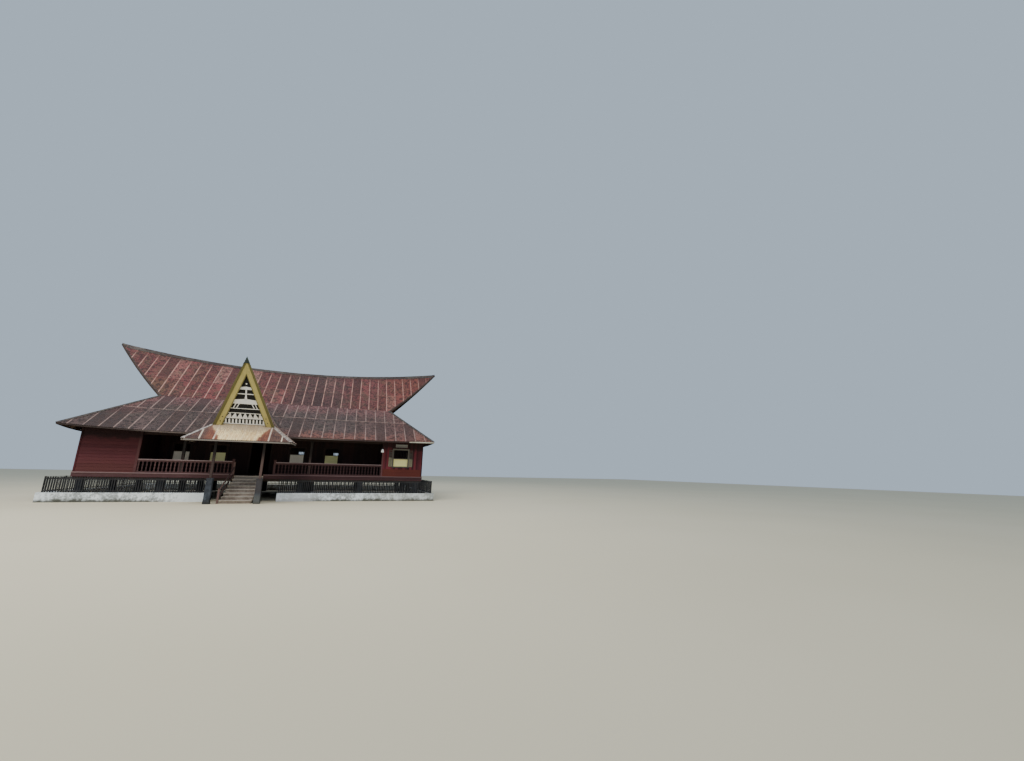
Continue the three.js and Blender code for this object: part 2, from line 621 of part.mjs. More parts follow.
// The panel fills the gable behind the bargeboards, up to the roof slopes
function gablePanel() {
  const FOOT_SUNK = 10;
  const APEX_CLEARANCE = 290;
  const footZ = PORCH_BREAK.z - FOOT_SUNK;
  const apexZ = GABLE_APEX.z - APEX_CLEARANCE;
  const half = (apexZ - footZ) * PORCH_BREAK.half / (GABLE_APEX.z - GABLE_ROOF_BASE_Z);
  const outline = [[PORCH_X - half, footZ], [PORCH_X + half, footZ], [PORCH_X, apexZ]];
  return toSolid(leanForward(panelAlongX(outline, 0, PANEL_THICK), PANEL_FOOT_Y, PORCH_BREAK.z));
}

addPlinth();
addFloor();
addWalls();
addVerandah();
addStair();
addPorch();
addMainRoof();
addGableEnds();

// The footprint reaches from the porch gable's apex to the rear eave
house.position.y = -(GABLE_APEX.y + BODY_DEPTH + EAVE_REACH) / 2;

const part = new THREE.Group();
part.add(house);

export default part;
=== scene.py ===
import math
import random

import bmesh
import bpy
from mathutils import Matrix, Vector


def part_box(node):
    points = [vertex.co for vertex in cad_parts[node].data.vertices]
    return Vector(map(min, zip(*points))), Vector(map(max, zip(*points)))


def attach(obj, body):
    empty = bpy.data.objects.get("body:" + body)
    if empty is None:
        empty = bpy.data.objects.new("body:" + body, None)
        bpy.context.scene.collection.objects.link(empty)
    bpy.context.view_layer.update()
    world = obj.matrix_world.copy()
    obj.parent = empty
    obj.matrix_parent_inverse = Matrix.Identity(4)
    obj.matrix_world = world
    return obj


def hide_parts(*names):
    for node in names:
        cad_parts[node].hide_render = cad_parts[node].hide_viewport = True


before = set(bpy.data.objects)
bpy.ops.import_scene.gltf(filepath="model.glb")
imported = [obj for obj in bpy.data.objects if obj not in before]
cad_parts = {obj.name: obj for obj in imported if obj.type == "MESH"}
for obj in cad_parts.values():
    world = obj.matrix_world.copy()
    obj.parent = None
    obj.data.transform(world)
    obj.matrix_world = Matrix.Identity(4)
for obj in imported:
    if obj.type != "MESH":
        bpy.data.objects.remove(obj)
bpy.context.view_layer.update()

# The house is drawn with the face of its front wall at Y 0; this moves it into the frame
HOUSE_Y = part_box("floor_deck")[0].y

draw = random.Random(47)


def lerp(a, b, t):
    return a + (b - a) * t


def clamp(value, low, high):
    return max(low, min(high, value))


def evenly(low, high, parts):
    """The ends of equal parts between two values"""
    return [lerp(low, high, i / parts) for i in range(parts + 1)]


def paint(red, green, blue):
    """A colour given as screen values from 0 to 255, as the shader's linear values"""
    def linear(value):
        value /= 255
        return value / 12.92 if value <= 0.04045 else ((value + 0.055) / 1.055) ** 2.4
    return (linear(red), linear(green), linear(blue), 1.0)


# Sizes of the house in metres, as its solids have them
WALL_HALF = 8.0
BODY_DEPTH = 9.6
BODY_MIDDLE = 4.8
WALL_THICK = 0.06
FLOOR_TOP = 1.23
INNER_WALL_TOP = 3.6
ROOM_X = 5.7
VERANDAH_DEPTH = 2.4
EAVE_HALF = 8.45
EAVE_OUT = 6.0
EAVE_Z = 3.25
EAVE_Y = -1.2
BREAK_HALF = 6.074
BREAK_OUT = 2.702
BREAK_Z = 5.362
BREAK_Y = BODY_MIDDLE - BREAK_OUT
LIFT_START = 3.5
LIFT_LEFT = 0.18
LIFT_RIGHT = 0.06
TIP_HALF = 9.306
RIDGE_MIDDLE_Z = 7.82
RIDGE_RISE = 0.83
ROOF_THICK = 0.07
GABLE_LEAN = math.tan(math.radians(20))
GABLE_FACE = 6.104
PORCH_X = -0.997
PORCH_EAVE = (2.233, -3.05, 2.881)
PORCH_BREAK = (1.2, -2.25, 3.7)
PORCH_POST_X = 0.994
PORCH_POST_Y = -2.449
PORCH_PIER_TOP = 1.15
PORCH_FRAME_BOTTOM = 3.3
FORWARD_LEAN = -0.5171
BOARD_FOOT = (1.234, -2.385, 3.627)
BOARD_APEX_Z = 6.667
BOARD_ACROSS = 0.324
PANEL_FOOT_Y = -2.3
STAIR_X = (-1.57, -0.25)
STAIR_FOOT_Y = -2.3
RISERS = 8
PLINTH_TOP = 0.41
WINDOW_WIDTH = 0.82
WINDOW_Z = (1.88, 2.83)
DOOR_X = (-1.41, -0.41)
DOOR_HEAD = 3.25


class Value:
    """A shader socket that takes part in arithmetic; each operation adds its Math node"""

    def __init__(self, look, socket):
        self.look = look
        self.socket = socket

    def math(self, operation, *others):
        inputs = dict(enumerate((self, *others)))
        return self.look.node("ShaderNodeMath", {"operation": operation}, inputs)

    def __add__(self, other):
        return self.math("ADD", other)

    def __mul__(self, other):
        return self.math("MULTIPLY", other)

    def __sub__(self, other):
        return self.math("SUBTRACT", other)

    def __rsub__(self, other):
        return self.look.node("ShaderNodeMath", {"operation": "SUBTRACT"}, {0: other, 1: self})

    def __truediv__(self, other):
        return self.math("DIVIDE", other)

    __radd__ = __add__
    __rmul__ = __mul__

    def ramp(self, low, high):
        """0 below low and 1 above high, or the other way round when low is the larger"""
        settings = {"interpolation_type": "SMOOTHSTEP", "clamp": True}
        return self.look.node("ShaderNodeMapRange", settings, {0: self, 1: low, 2: high})

    def least(self, other):
        return self.math("MINIMUM", other)

    def most(self, other):
        return self.math("MAXIMUM", other)


LOOKS = {}


class Look:
    """A material: its nodes and one Principled shader, kept in LOOKS under its name"""

    def __init__(self, name, **constants):
        self.material = bpy.data.materials.new(name)
        self.material.use_nodes = True
        self.tree = self.material.node_tree
        self.tree.nodes.clear()
        output = self.tree.nodes.new("ShaderNodeOutputMaterial")
        self.shader = self.tree.nodes.new("ShaderNodeBsdfPrincipled")
        self.tree.links.new(self.shader.outputs[0], output.inputs[0])
        for socket, value in constants.items():
            self.shader.inputs[socket.replace("_", " ")].default_value = value
        LOOKS[name] = self.material

    def node(self, kind, settings=None, inputs=None, output=0):
        """Adds a node; an input is a constant or a Value that is linked to it"""
        made = self.tree.nodes.new(kind)
        for key, value in (settings or {}).items():
            setattr(made, key, value)
        for key, value in (inputs or {}).items():
            if isinstance(value, Value):
                self.tree.links.new(value.socket, made.inputs[key])
            else:
                made.inputs[key].default_value = value
        return Value(self, made.outputs[output])

    def mark(self, name):
        """One of the values that a piece holds at each of its points"""
        return self.node("ShaderNodeAttribute", {"attribute_name": name}, output="Fac")

    def place(self, stretch=(1, 1, 1)):
        """Position on the house, scaled on each axis"""
        where = self.node("ShaderNodeTexCoord", output="Object")
        inputs = {0: where, 1: stretch}
        return self.node("ShaderNodeVectorMath", {"operation": "MULTIPLY"}, inputs)

    def axis(self, name):
        where = self.node("ShaderNodeTexCoord", output="Object")
        return self.node("ShaderNodeSeparateXYZ", None, {0: where}, output=name)

    def noise(self, scale, detail, rough, stretch=(1, 1, 1)):
        inputs = {"Vector": self.place(stretch), "Scale": scale, "Detail": detail, "Roughness": rough}
        return self.node("ShaderNodeTexNoise", None, inputs)

    def cells(self, scale):
        return self.node("ShaderNodeTexVoronoi", None, {"Vector": self.place(), "Scale": scale})

    def mix(self, factor, first, second):
        """From the first colour to the second; a plain colour is given in screen values"""
        first, second = (paint(*c) if isinstance(c, tuple) else c for c in (first, second))
        inputs = {0: factor, 6: first, 7: second}
        return self.node("ShaderNodeMix", {"data_type": "RGBA"}, inputs, output=2)

    def bump(self, height, distance, strength):
        inputs = {"Height": height, "Distance": distance, "Strength": strength}
        return self.node("ShaderNodeBump", None, inputs)

    def stain(self, colour, spread, stains_and_painted_light):
        """Lays stains, painted shade and painted light over a colour; each is the ramps that bound it, its
        colour and its strength

        A ramp is an axis, where along it there is none and where it is full. spread moves those places a
        little.
        """
        for ramps, tint, strength in stains_and_painted_light:
            cover = strength
            for axis, none, full in ramps:
                cover = (self.axis(axis) + spread).ramp(none, full) * cover
            colour = self.mix(cover, colour, tint)
        return colour

    def feed(self, **sockets):
        for socket, value in sockets.items():
            self.tree.links.new(value.socket, self.shader.inputs[socket.replace("_", " ")])


def zinc_look(name, colours, seam_strength, streak_axis="x", stains_and_painted_light=(), lap_strength=0.9,
              seam_end=(2.1, 1.1)):
    """Painted and rusting corrugated sheet with pale edges where the sheets overlap

    seam_end is how far up a sheet its pale edge has faded, and how far up it starts to fade.
    """
    bright, deep, dark, aged, rust, seam = colours
    look = Look(name, IOR=1.5, Specular_IOR_Level=0.35)
    shade, across, upslope = (look.mark(mark) for mark in ("shade", "across", "upslope"))
    run = (9, 1.1, 1.1) if streak_axis == "x" else (1.1, 9, 1.1)
    streaks = look.noise(2.2, 5, 0.66, run)
    fine_streaks = look.noise(7.0, 5, 0.66, run)
    patches = look.noise(0.55, 5, 0.6)
    blotches = look.noise(3.4, 6, 0.68)
    speckle = look.noise(8.5, 3, 0.7)
    grit = look.noise(55, 3, 0.6)
    tone = shade * 0.4 + patches * 0.5 + streaks * 0.5 - 0.2
    colour = look.mix(tone.ramp(0.25, 0.75), deep, bright)
    weathered = (look.noise(1.9, 5, 0.7) * 0.6 + fine_streaks * 0.4).ramp(0.47, 0.57)
    colour = look.mix(weathered * 0.75, colour, aged)
    colour = look.mix(shade.ramp(0.88, 0.96) * 0.25, colour, seam)
    rusty = (streaks * 0.5 + blotches * 0.3 + (1 - shade) * 0.3).ramp(0.52, 0.78)
    colour = look.mix(rusty * 0.5, colour, rust)
    colour = look.stain(colour, (blotches - 0.5) * 0.8 + (streaks - 0.5) * 0.6, stains_and_painted_light)
    darkness = (blotches * 0.3 + fine_streaks * 0.3 + speckle * 0.4).ramp(0.47, 0.55)
    sooty_sheet = shade.ramp(0.2, 0.1) * (patches * 1.6).least(1.0)
    colour = look.mix((darkness * 0.8).most(sooty_sheet * 0.7), colour, dark)
    colour = look.mix(grit.ramp(0.45, 0.75) * 0.2, colour, bright)
    uneven = look.noise(5.0, 4, 0.7)
    worn_end = upslope.ramp(*seam_end) * 0.8 + 0.2
    edge = across.ramp(0.062, 0.042) * (uneven * 2.2 - 0.2).least(1.0) * worn_end
    lap = upslope.ramp(0.075, 0.04) * (uneven * 2.4 - 0.5).least(1.0).most(0.0)
    colour = look.mix((edge + lap * lap_strength).least(1.0) * seam_strength, colour, seam)
    look.feed(Base_Color=colour, Roughness=0.52 + darkness * 0.2 + grit * 0.15,
              Normal=look.bump(blotches + grit * 0.4, 0.004, 0.5))


def porch_front_look():
    """Pale sheets in the middle of the porch skirt and rusty ones towards its corners"""
    look = Look("porch_front_zinc", IOR=1.5, Specular_IOR_Level=0.35)
    run = (8, 1.2, 1.2)
    streaks = look.noise(2.4, 5, 0.62, run)
    fine_streaks = look.noise(10, 4, 0.6, run)
    blotches = look.noise(4.0, 6, 0.68)
    grit = look.noise(60, 3, 0.6)
    pale = look.mix((streaks * 0.6 + look.mark("shade") * 0.05 + blotches * 0.35).ramp(0.4, 0.62),
                    (210, 174, 124), (255, 234, 180))
    rusty = look.mix((streaks * 0.5 + blotches * 0.4).ramp(0.35, 0.65), (96, 54, 44), (156, 94, 68))
    brown = look.mix((fine_streaks * 0.5 + blotches * 0.5).ramp(0.4, 0.65), (62, 42, 40),
                     (96, 68, 60))
    from_middle = (look.axis("X") - (PORCH_X - 0.06)).math("ABSOLUTE")
    low_down = look.axis("Z").ramp(3.65, 2.9) * 0.4
    spread = from_middle + (blotches - 0.5) * 0.35 + (streaks - 0.5) * 0.4
    colour = look.mix(spread.ramp(1.4, 1.15), brown, rusty)
    creamy = (spread + low_down).ramp(1.24, 1.12)
    colour = look.mix(creamy, colour, pale)
    washed = (look.axis("Z") + (fine_streaks - 0.5) * 1.2).ramp(3.26, 3.44)
    colour = look.mix(washed * (creamy * 0.65 + 0.15), colour, (160, 143, 124))
    stained = (fine_streaks * 0.6 + blotches * 0.4).ramp(0.48, 0.64)
    colour = look.mix(stained * 0.5, colour, (136, 98, 72))
    edge = look.mark("across").ramp(0.08, 0.03) * (blotches * 1.6).least(1.0) * (1 - creamy * 0.75)
    colour = look.mix(edge * 0.8, colour, (230, 214, 194))
    look.feed(Base_Color=colour, Roughness=0.55 + stained * 0.15 + grit * 0.1,
              Normal=look.bump(blotches + grit * 0.4, 0.004, 0.5))


def timber_look(name, base, deep, worn, wear, grain, stains_and_painted_light=(), painted_glow=0.0):
    """Painted or bare boards: grain along one axis, a tone for each board, worn paint

    painted_glow is how strongly a thin panel glows, painted to stand for daylight coming through it from
    behind.
    """
    look = Look(name, Emission_Strength=painted_glow, Specular_IOR_Level=0.3)
    stretch = {"x": (0.35, 9, 9), "y": (9, 0.35, 9), "z": (9, 9, 0.35)}[grain]
    fibres = look.noise(6.5, 6, 0.65, stretch)
    broad = look.noise(1.3, 4, 0.6)
    scuffs = look.noise(8.0, 5, 0.7)
    tone = look.mark("shade") * 0.5 + fibres * 0.45 + broad * 0.35 - 0.15
    colour = look.mix(tone.ramp(0.2, 0.8), deep, base)
    bare = (scuffs * 0.5 + fibres * 0.5).ramp(0.52, 0.78) * wear
    colour = look.mix(bare, colour, worn)
    colour = look.stain(colour, (broad - 0.5) * 0.5 + (scuffs - 0.5) * 0.3, stains_and_painted_light)
    if painted_glow:
        look.feed(Emission_Color=colour)
    look.feed(Base_Color=colour, Roughness=0.7 + bare * 0.15 + (fibres - 0.5) * 0.2,
              Normal=look.bump(fibres, 0.004, 0.6))


def masonry_look(name, base, deep, stain, top_z, stain_height, rough=0.85, stain_amount=0.85,
                 grit_size=38, stains_and_painted_light=(), fresh=(), spread=3.0):
    """Cement render or whitewash that is stained from the ground upward

    fresh is where a newer coat lies over the stains, given in the same way as the stains.
    """
    look = Look(name, Specular_IOR_Level=0.2)
    cloud = look.noise(1.7, 5, 0.6)
    mottled = look.noise(7.5, 6, 0.7)
    runs = look.noise(4.0, 4, 0.6, (3.0, 3.0, 0.4))
    grit = look.noise(grit_size, 4, 0.65)
    colour = look.mix((cloud * 0.5 + mottled * 0.55).ramp(0.44, 0.6), deep, base)
    colour = look.stain(colour, (mottled - 0.5) * spread, stains_and_painted_light)
    height = look.axis("Z") / stain_height + (cloud - 0.5) * 1.6 + (mottled - 0.5) * 0.9
    damp = height.ramp(1.0, 0.1) * stain_amount
    colour = look.mix(damp, colour, stain)
    drip = (runs * 0.7 + mottled * 0.3).ramp(0.52, 0.68) * look.axis("Z").ramp(top_z * 0.2, top_z)
    colour = look.mix(drip * 0.45, colour, deep)
    colour = look.stain(colour, (mottled - 0.5) * spread, fresh)
    pits = look.cells(grit_size * 0.55).ramp(0.18, 0.05)
    colour = look.mix(pits * 0.35, colour, stain)
    look.feed(Base_Color=colour, Roughness=rough - damp * 0.1 + grit * 0.1,
              Normal=look.bump(mottled * 0.6 + grit * 0.4 - pits * 0.3, 0.008, 0.6))


def metal_look(name, base, deep, rust, rough, metallic):
    """Dark painted metal with rust in patches"""
    look = Look(name, Metallic=metallic)
    fine = look.noise(22, 5, 0.65)
    broad = look.noise(3.0, 4, 0.6)
    colour = look.mix(broad.ramp(0.35, 0.65), deep, base)
    rusted = (fine * 0.6 + broad * 0.4).ramp(0.52, 0.68)
    colour = look.mix(rusted * 0.7, colour, rust)
    look.feed(Base_Color=colour, Roughness=rough + rusted * 0.35, Normal=look.bump(fine, 0.002, 0.6))


def lamp_look():
    """White glass that is lit a little from inside"""
    look = Look("lamp_glass", Coat_Weight=0.4, Emission_Strength=0.35)
    cloud = look.noise(9, 3, 0.5)
    colour = look.mix(cloud, (238, 238, 232), (250, 250, 246))
    look.feed(Base_Color=colour, Emission_Color=colour, Roughness=0.3 + cloud * 0.1)


# Each zinc: bright, deep, dark, aged, rust and seam colours, strength of the seams, run of the
# streaks, stains, strength of the laps, where the seams end
SKIRT_COLOURS = [(90, 70, 66), (62, 51, 49), (36, 31, 31), (80, 69, 61), (112, 74, 62),
                 (164, 138, 128)]
SKIRT_STAINS = [([("Z", 4.65, 5.2)], (124, 82, 80), 0.75),
                ([("Z", 3.8, 3.35), ("X", -1.5, 1.5)], (130, 78, 64), 0.7),
                ([("X", 2.8, 7.4)], (116, 70, 62), 0.5),
                ([("X", 6.4, 8.0)], (136, 82, 64), 0.45),
                ([("X", -5.6, -6.6), ("Z", 4.0, 4.35)], (118, 74, 68), 0.55)]
ZINCS = {
    "upper_zinc": ([(126, 66, 63), (84, 47, 48), (36, 31, 33), (90, 75, 58), (130, 66, 50),
                    (206, 160, 144)], 0.58, "x",
                   [([("X", -0.6, 0.8), ("X", 4.2, 2.6)], (60, 50, 48), 0.6),
                    ([("X", 4.6, 7.0)], (134, 68, 52), 0.45),
                    ([("X", -5.4, -6.2), ("Z", 6.7, 6.2)], (96, 74, 52), 0.6)], 0.22, (1.85, 1.2)),
    "skirt_zinc": (SKIRT_COLOURS, 0.64, "x", SKIRT_STAINS),
    "end_zinc": (SKIRT_COLOURS, 0.64, "y", SKIRT_STAINS),
    "porch_zinc": ([(112, 76, 66), (80, 54, 48), (48, 36, 34), (88, 72, 60), (140, 80, 54),
                    (214, 190, 170)], 0.7),
    "cap_zinc": ([(80, 70, 64), (60, 52, 48), (40, 35, 34), (76, 70, 60), (98, 66, 54),
                  (122, 108, 100)], 0.3),
    "pale_cap_zinc": ([(172, 164, 158), (136, 128, 124), (96, 86, 82), (150, 138, 126),
                       (136, 104, 88), (190, 184, 178)], 0.3, "y"),
}
# Each timber: base, deep and worn colours, how worn, run of the grain, stains and painted shade, painted
# glow
# Painted shade: walls go near black just under the eaves, standing for the eaves' shadow
PAINTED_EAVE_SHADE = ([("Z", 2.7, 3.02)], (24, 13, 15), 0.85)
# Painted shade: boards along the front darken to the right of the stair, standing for shadow there
PAINTED_RIGHT_SHADE = ([("X", -0.5, 1.5)], (48, 26, 28), 0.6)
TIMBERS = {
    "maroon_paint": ((102, 50, 54), (84, 38, 43), (122, 80, 78), 0.3, "x",
                     [([("Z", 2.1, 1.4)], (104, 58, 52), 0.6), PAINTED_EAVE_SHADE]),
    "maroon_paint_upright": ((108, 44, 50), (66, 27, 33), (128, 78, 74), 0.3, "z", [PAINTED_EAVE_SHADE]),
    "room_paint": ((126, 50, 58), (54, 21, 28), (128, 78, 74), 0.3, "z", [PAINTED_EAVE_SHADE]),
    "gable_end_paint": ((88, 44, 46), (58, 28, 31), (106, 70, 66), 0.35, "z"),
    "base_board_paint": ((132, 62, 46), (96, 42, 34), (142, 92, 74), 0.4, "x"),
    "corner_paint": ((112, 70, 70), (84, 48, 49), (134, 100, 94), 0.45, "z", [PAINTED_EAVE_SHADE]),
    "inner_paint": ((50, 26, 24), (32, 17, 17), (66, 42, 38), 0.3, "z"),
    "inner_trim": ((66, 46, 40), (44, 30, 28), (84, 68, 60), 0.4, "z"),
    "dark_timber": ((82, 64, 52), (52, 40, 34), (110, 92, 78), 0.35, "x"),
    "deck_planks": ((112, 86, 68), (78, 58, 46), (140, 116, 96), 0.5, "y"),
    "edge_paint": ((128, 88, 86), (94, 62, 61), (156, 128, 122), 0.5, "x", [PAINTED_RIGHT_SHADE]),
    "grey_timber": ((118, 112, 102), (86, 80, 74), (146, 138, 126), 0.6, "z"),
    # post_timber: its stain is painted shade, darkening posts and porch frame above Z 1.8 where the porch
    # roof shades them
    "post_timber": ((96, 76, 70), (62, 48, 45), (122, 104, 96), 0.5, "z",
                    [([("Z", 1.8, 2.5)], (24, 23, 22), 0.85)]),
    "rail_bar": ((122, 96, 90), (88, 66, 62), (146, 128, 118), 0.6, "y"),
    "pink_boards": ((104, 72, 70), (72, 48, 48), (132, 108, 104), 0.5, "z", [PAINTED_RIGHT_SHADE]),
    # rail_cap_paint: the cap's pale paint stands partly for light on the rail's top, a painted highlight;
    # its stain is painted shade to the right of the stair
    "rail_cap_paint": ((198, 172, 168), (158, 132, 129), (110, 84, 80), 0.5, "x",
                       [([("X", -0.5, 1.5)], (92, 70, 72), 0.6)]),
    # pink_trim: the mouldings' paler paint stands partly for the light lines along the floor's edge, a
    # painted highlight; its stain is painted shade to the right of the stair
    "pink_trim": ((156, 126, 122), (120, 92, 89), (112, 84, 80), 0.5, "x",
                  [([("X", -0.5, 1.5)], (88, 60, 62), 0.6)]),
    "olive_paint": ((194, 178, 112), (158, 142, 82), (122, 112, 78), 0.6, "z"),
    "olive_edge": ((116, 108, 62), (86, 80, 46), (140, 132, 84), 0.4, "z"),
    "gable_black": ((34, 32, 30), (20, 19, 19), (60, 56, 52), 0.35, "z"),
    "ornament_white": ((250, 247, 242), (228, 222, 214), (176, 166, 156), 0.35, "x"),
    "shutter_grey": ((108, 100, 92), (80, 72, 66), (128, 118, 106), 0.5, "z",
                     [([("Z", 2.4, 2.28)], (164, 158, 128), 0.75)]),
    "vent_grey": ((158, 156, 152), (124, 120, 117), (120, 106, 96), 0.5, "x"),
    "bar_paint": ((44, 36, 34), (30, 25, 24), (62, 54, 50), 0.3, "z"),
    "panel_yellow": ((255, 246, 172), (246, 232, 152), (206, 196, 146), 0.3, "z"),
    # Painted glow: the pale and grey window panels glow a little, standing for daylight through them
    "panel_pale": ((236, 232, 176), (208, 206, 150), (180, 170, 130), 0.35, "z", (), 0.07),
    "panel_grey": ((224, 216, 200), (192, 184, 170), (160, 150, 140), 0.35, "z", (), 0.1),
    # eave_paint: its first stain is painted shade, darkening the eave board left of X -5 where it lies in
    # shadow; the second darkens it right of X 3.0 to 4.2
    "eave_paint": ((120, 106, 100), (86, 74, 69), (70, 56, 50), 0.55, "x",
                   [([("X", -5.0, -5.8)], (52, 40, 38), 0.85),
                    ([("X", 3.0, 4.2)], (54, 38, 36), 0.85)]),
    "porch_eave_paint": ((150, 142, 134), (112, 102, 95), (92, 76, 66), 0.55, "x"),
    "pale_eave_paint": ((214, 208, 190), (178, 171, 155), (110, 98, 86), 0.5, "x"),
}
for name, how in ZINCS.items():
    zinc_look(name, *how)
for name, how in TIMBERS.items():
    timber_look(name, *how)
porch_front_look()
lamp_look()
metal_look("dark_iron", (50, 50, 52), (32, 32, 34), (74, 56, 46), 0.6, 0.3)
metal_look("tip_metal", (52, 66, 64), (34, 44, 44), (70, 66, 52), 0.45, 0.4)
masonry_look("whitewash", (240, 246, 248), (162, 166, 165), (74, 73, 62), 0.41, 0.18, 0.85, 0.92, 30,
             [([("X", 4.4, 6.4)], (176, 175, 164), 0.4)],
             [([("X", -4.9, -3.3), ("X", -1.2, -2.2)], (250, 255, 255), 0.85),
              ([("X", 3.0, 1.4), ("X", -0.9, 0.0)], (236, 238, 240), 0.6)])
# Painted shade: the piers under the floor are near-black stone, standing for the shade under the house
masonry_look("pier_stone", (44, 47, 52), (29, 31, 35), (26, 26, 25), 0.95, 0.25)
masonry_look("concrete", (82, 88, 96), (56, 61, 68), (48, 48, 46), 1.15, 0.25,
             stains_and_painted_light=[([("X", -1.4, -0.6), ("Z", 0.3, 0.6)], (66, 60, 59), 0.8)],
             fresh=[([("X", -1.4, -0.6), ("Z", 0.5, 0.3)], (98, 98, 92), 0.6),
                    ([("X", -1.4, -2.0), ("Z", 0.4, 0.7)], (50, 50, 55), 0.5)], spread=0.3)
# Painted light and shade: treads and risers are one stone, the risers painted darker for the shade under the
# nosings; both are painted lighter near the top of the stair, standing for light there, and the treads are
# darker towards the foot
masonry_look("step_stone", (202, 190, 175), (162, 149, 136), (112, 100, 86), 1.23, 0.2, 0.8, 0.35,
             stains_and_painted_light=[([("Z", 0.8, 0.2)], (140, 132, 120), 0.45),
                     ([("Z", 0.8, 1.15)], (236, 218, 200), 0.5)], spread=0.3)
masonry_look("riser_stone", (168, 153, 140), (132, 118, 107), (96, 86, 76), 1.23, 0.2, 0.85, 0.35,
             stains_and_painted_light=[([("Z", 0.8, 1.15)], (206, 188, 172), 0.5)], spread=0.3)


def soften(thing, width):
    """Rounds the edges of a piece where a width is given"""
    if width:
        rounding = thing.modifiers.new("rounding", "BEVEL")
        rounding.width = width
        rounding.segments = 2
        rounding.limit_method = "ANGLE"


def round_outline(a, b, radius, sides):
    turns = [2 * math.pi * i / sides for i in range(sides)]
    return [(a + radius * math.cos(turn), b + radius * math.sin(turn)) for turn in turns]


class Piece:
    """Gathers the faces of one piece, in the house's own frame, with a tone for each part"""

    def __init__(self):
        self.points = []
        self.faces = []
        self.marks = {"shade": [], "across": [], "upslope": []}

    def add(self, points, faces, shade=None, across=None, upslope=None):
        start, count = len(self.points), len(points)
        shade = draw.random() if shade is None else shade
        self.points.extend(points)
        self.faces.extend([tuple(start + i for i in face) for face in faces])
        self.marks["shade"].extend([shade] * count)
        self.marks["across"].extend(across or [1.0] * count)
        self.marks["upslope"].extend(upslope or [1.0] * count)

    def skin(self, rings, shade=None, last_way=1):
        """A closed form over rings of points, with a face at each end

        last_way is 1 where the last face goes round as its ring does, and -1 the other way.
        Softened edges depend on it a little.
        """
        points = [point for ring in rings for point in ring]
        count, size = len(rings[0]), len(points)
        faces = [tuple(range(count)), tuple(range(size - count, size))[::last_way]]
        for a in range(0, size - count, count):
            faces += [(a + i, a + (i + 1) % count, a + count + (i + 1) % count, a + count + i)
                      for i in range(count)]
        self.add(points, faces, shade)

    def block(self, low, high, place=None, shade=None):
        """A box between two corners, each corner moved by place where it is given"""
        (x0, y0, z0), (x1, y1, z1) = low, high
        rings = [[(x0, y0, z), (x1, y0, z), (x1, y1, z), (x0, y1, z)] for z in (z0, z1)]
        if place:
            rings = [[place(*corner) for corner in ring] for ring in rings]
        self.skin(rings, shade)

    def prism(self, outline, depths, place, shade=None):
        """An outline in two directions, given thickness between two depths"""
        self.skin([[place(a, depth, b) for a, b in outline] for depth in depths], shade, -1)

    def bar(self, start, end, section, shade=None, drop=0.0):
        """A straight bar of a width and height, its top face `drop` below the line to its end"""
        width, height = section
        start, end = Vector(start), Vector(end)
        along = (end - start).normalized()
        side = along.cross(Vector((0, 0, 1))).normalized()
        up = side.cross(along).normalized()
        corners = [side * (across * width / 2) - up * (drop + rise * height)
                   for across, rise in ((-1, 0), (1, 0), (1, 1), (-1, 1))]
        self.skin([[tuple(centre + corner) for corner in corners] for centre in (start, end)], shade)

    def turned(self, centre, profile, sides):
        """A round form about an upright line, from its radii at each height"""
        self.skin([[(x, y, z) for x, y in round_outline(*centre, radius, sides)]
                   for radius, z in profile])

    def sheet(self, rows, thickness, shade=None, across=None, upslope=None):
        """A bent sheet through rows of points, with its back a little below"""
        count = len(rows[0])
        points = [point for row in rows for point in row]
        size = len(points)
        points += [(x, y, z - thickness) for x, y, z in points]
        rim = [*range(count - 1), *range(count - 1, size - 1, count),
               *range(size - 1, size - count, -1), *range(size - count, 0, -count)]
        faces = [(a, b, size + b, size + a) for a, b in zip(rim, rim[1:] + rim[:1])]
        for start in range(0, size - count, count):
            for a in range(start, start + count - 1):
                b = a + count
                faces.append((a, a + 1, b + 1, b))
                faces.append((size + b, size + b + 1, size + a + 1, size + a))
        self.add(points, faces, shade, across, upslope)

    def make(self, name, look, slot, replaces=(), bevel=0.0):
        """Turns what was gathered into the piece itself"""
        mesh = bpy.data.meshes.new(name)
        mesh.from_pydata([(x, y + HOUSE_Y, z) for x, y, z in self.points], [], self.faces)
        for key, values in self.marks.items():
            mesh.attributes.new(key, "FLOAT", "POINT").data.foreach_set("value", values)
        form = bmesh.new()
        form.from_mesh(mesh)
        bmesh.ops.recalc_face_normals(form, faces=form.faces)
        form.to_mesh(mesh)
        form.free()
        mesh.materials.append(LOOKS[look])
        made = bpy.data.objects.new(name, mesh)
        bpy.context.scene.collection.objects.link(made)
        soften(made, bevel)
        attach(made, "root")
        if replaces:
            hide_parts(*replaces)


def ridge_z(x):
    return RIDGE_MIDDLE_Z + RIDGE_RISE * (x / TIP_HALF) ** 2


# Each skirt roof: how far it is turned, half its eave, how far out that lies, then the same two
# where it meets the upper roof
SIDES = {
    "front": (0.0, EAVE_HALF, EAVE_OUT, BREAK_HALF, BREAK_OUT),
    "rear": (math.pi, EAVE_HALF, EAVE_OUT, BREAK_HALF, BREAK_OUT),
    "right": (math.pi / 2, EAVE_OUT, EAVE_HALF, BREAK_OUT, BREAK_HALF),
    "left": (-math.pi / 2, EAVE_OUT, EAVE_HALF, BREAK_OUT, BREAK_HALF),
}
LONG_SIDES = ("front", "rear")
UPPER_TURNS = {"front": 0.0, "rear": math.pi}


def turned_out(turn, along, out):
    x = along * math.cos(turn) + out * math.sin(turn)
    y = BODY_MIDDLE + along * math.sin(turn) - out * math.cos(turn)
    return x, y


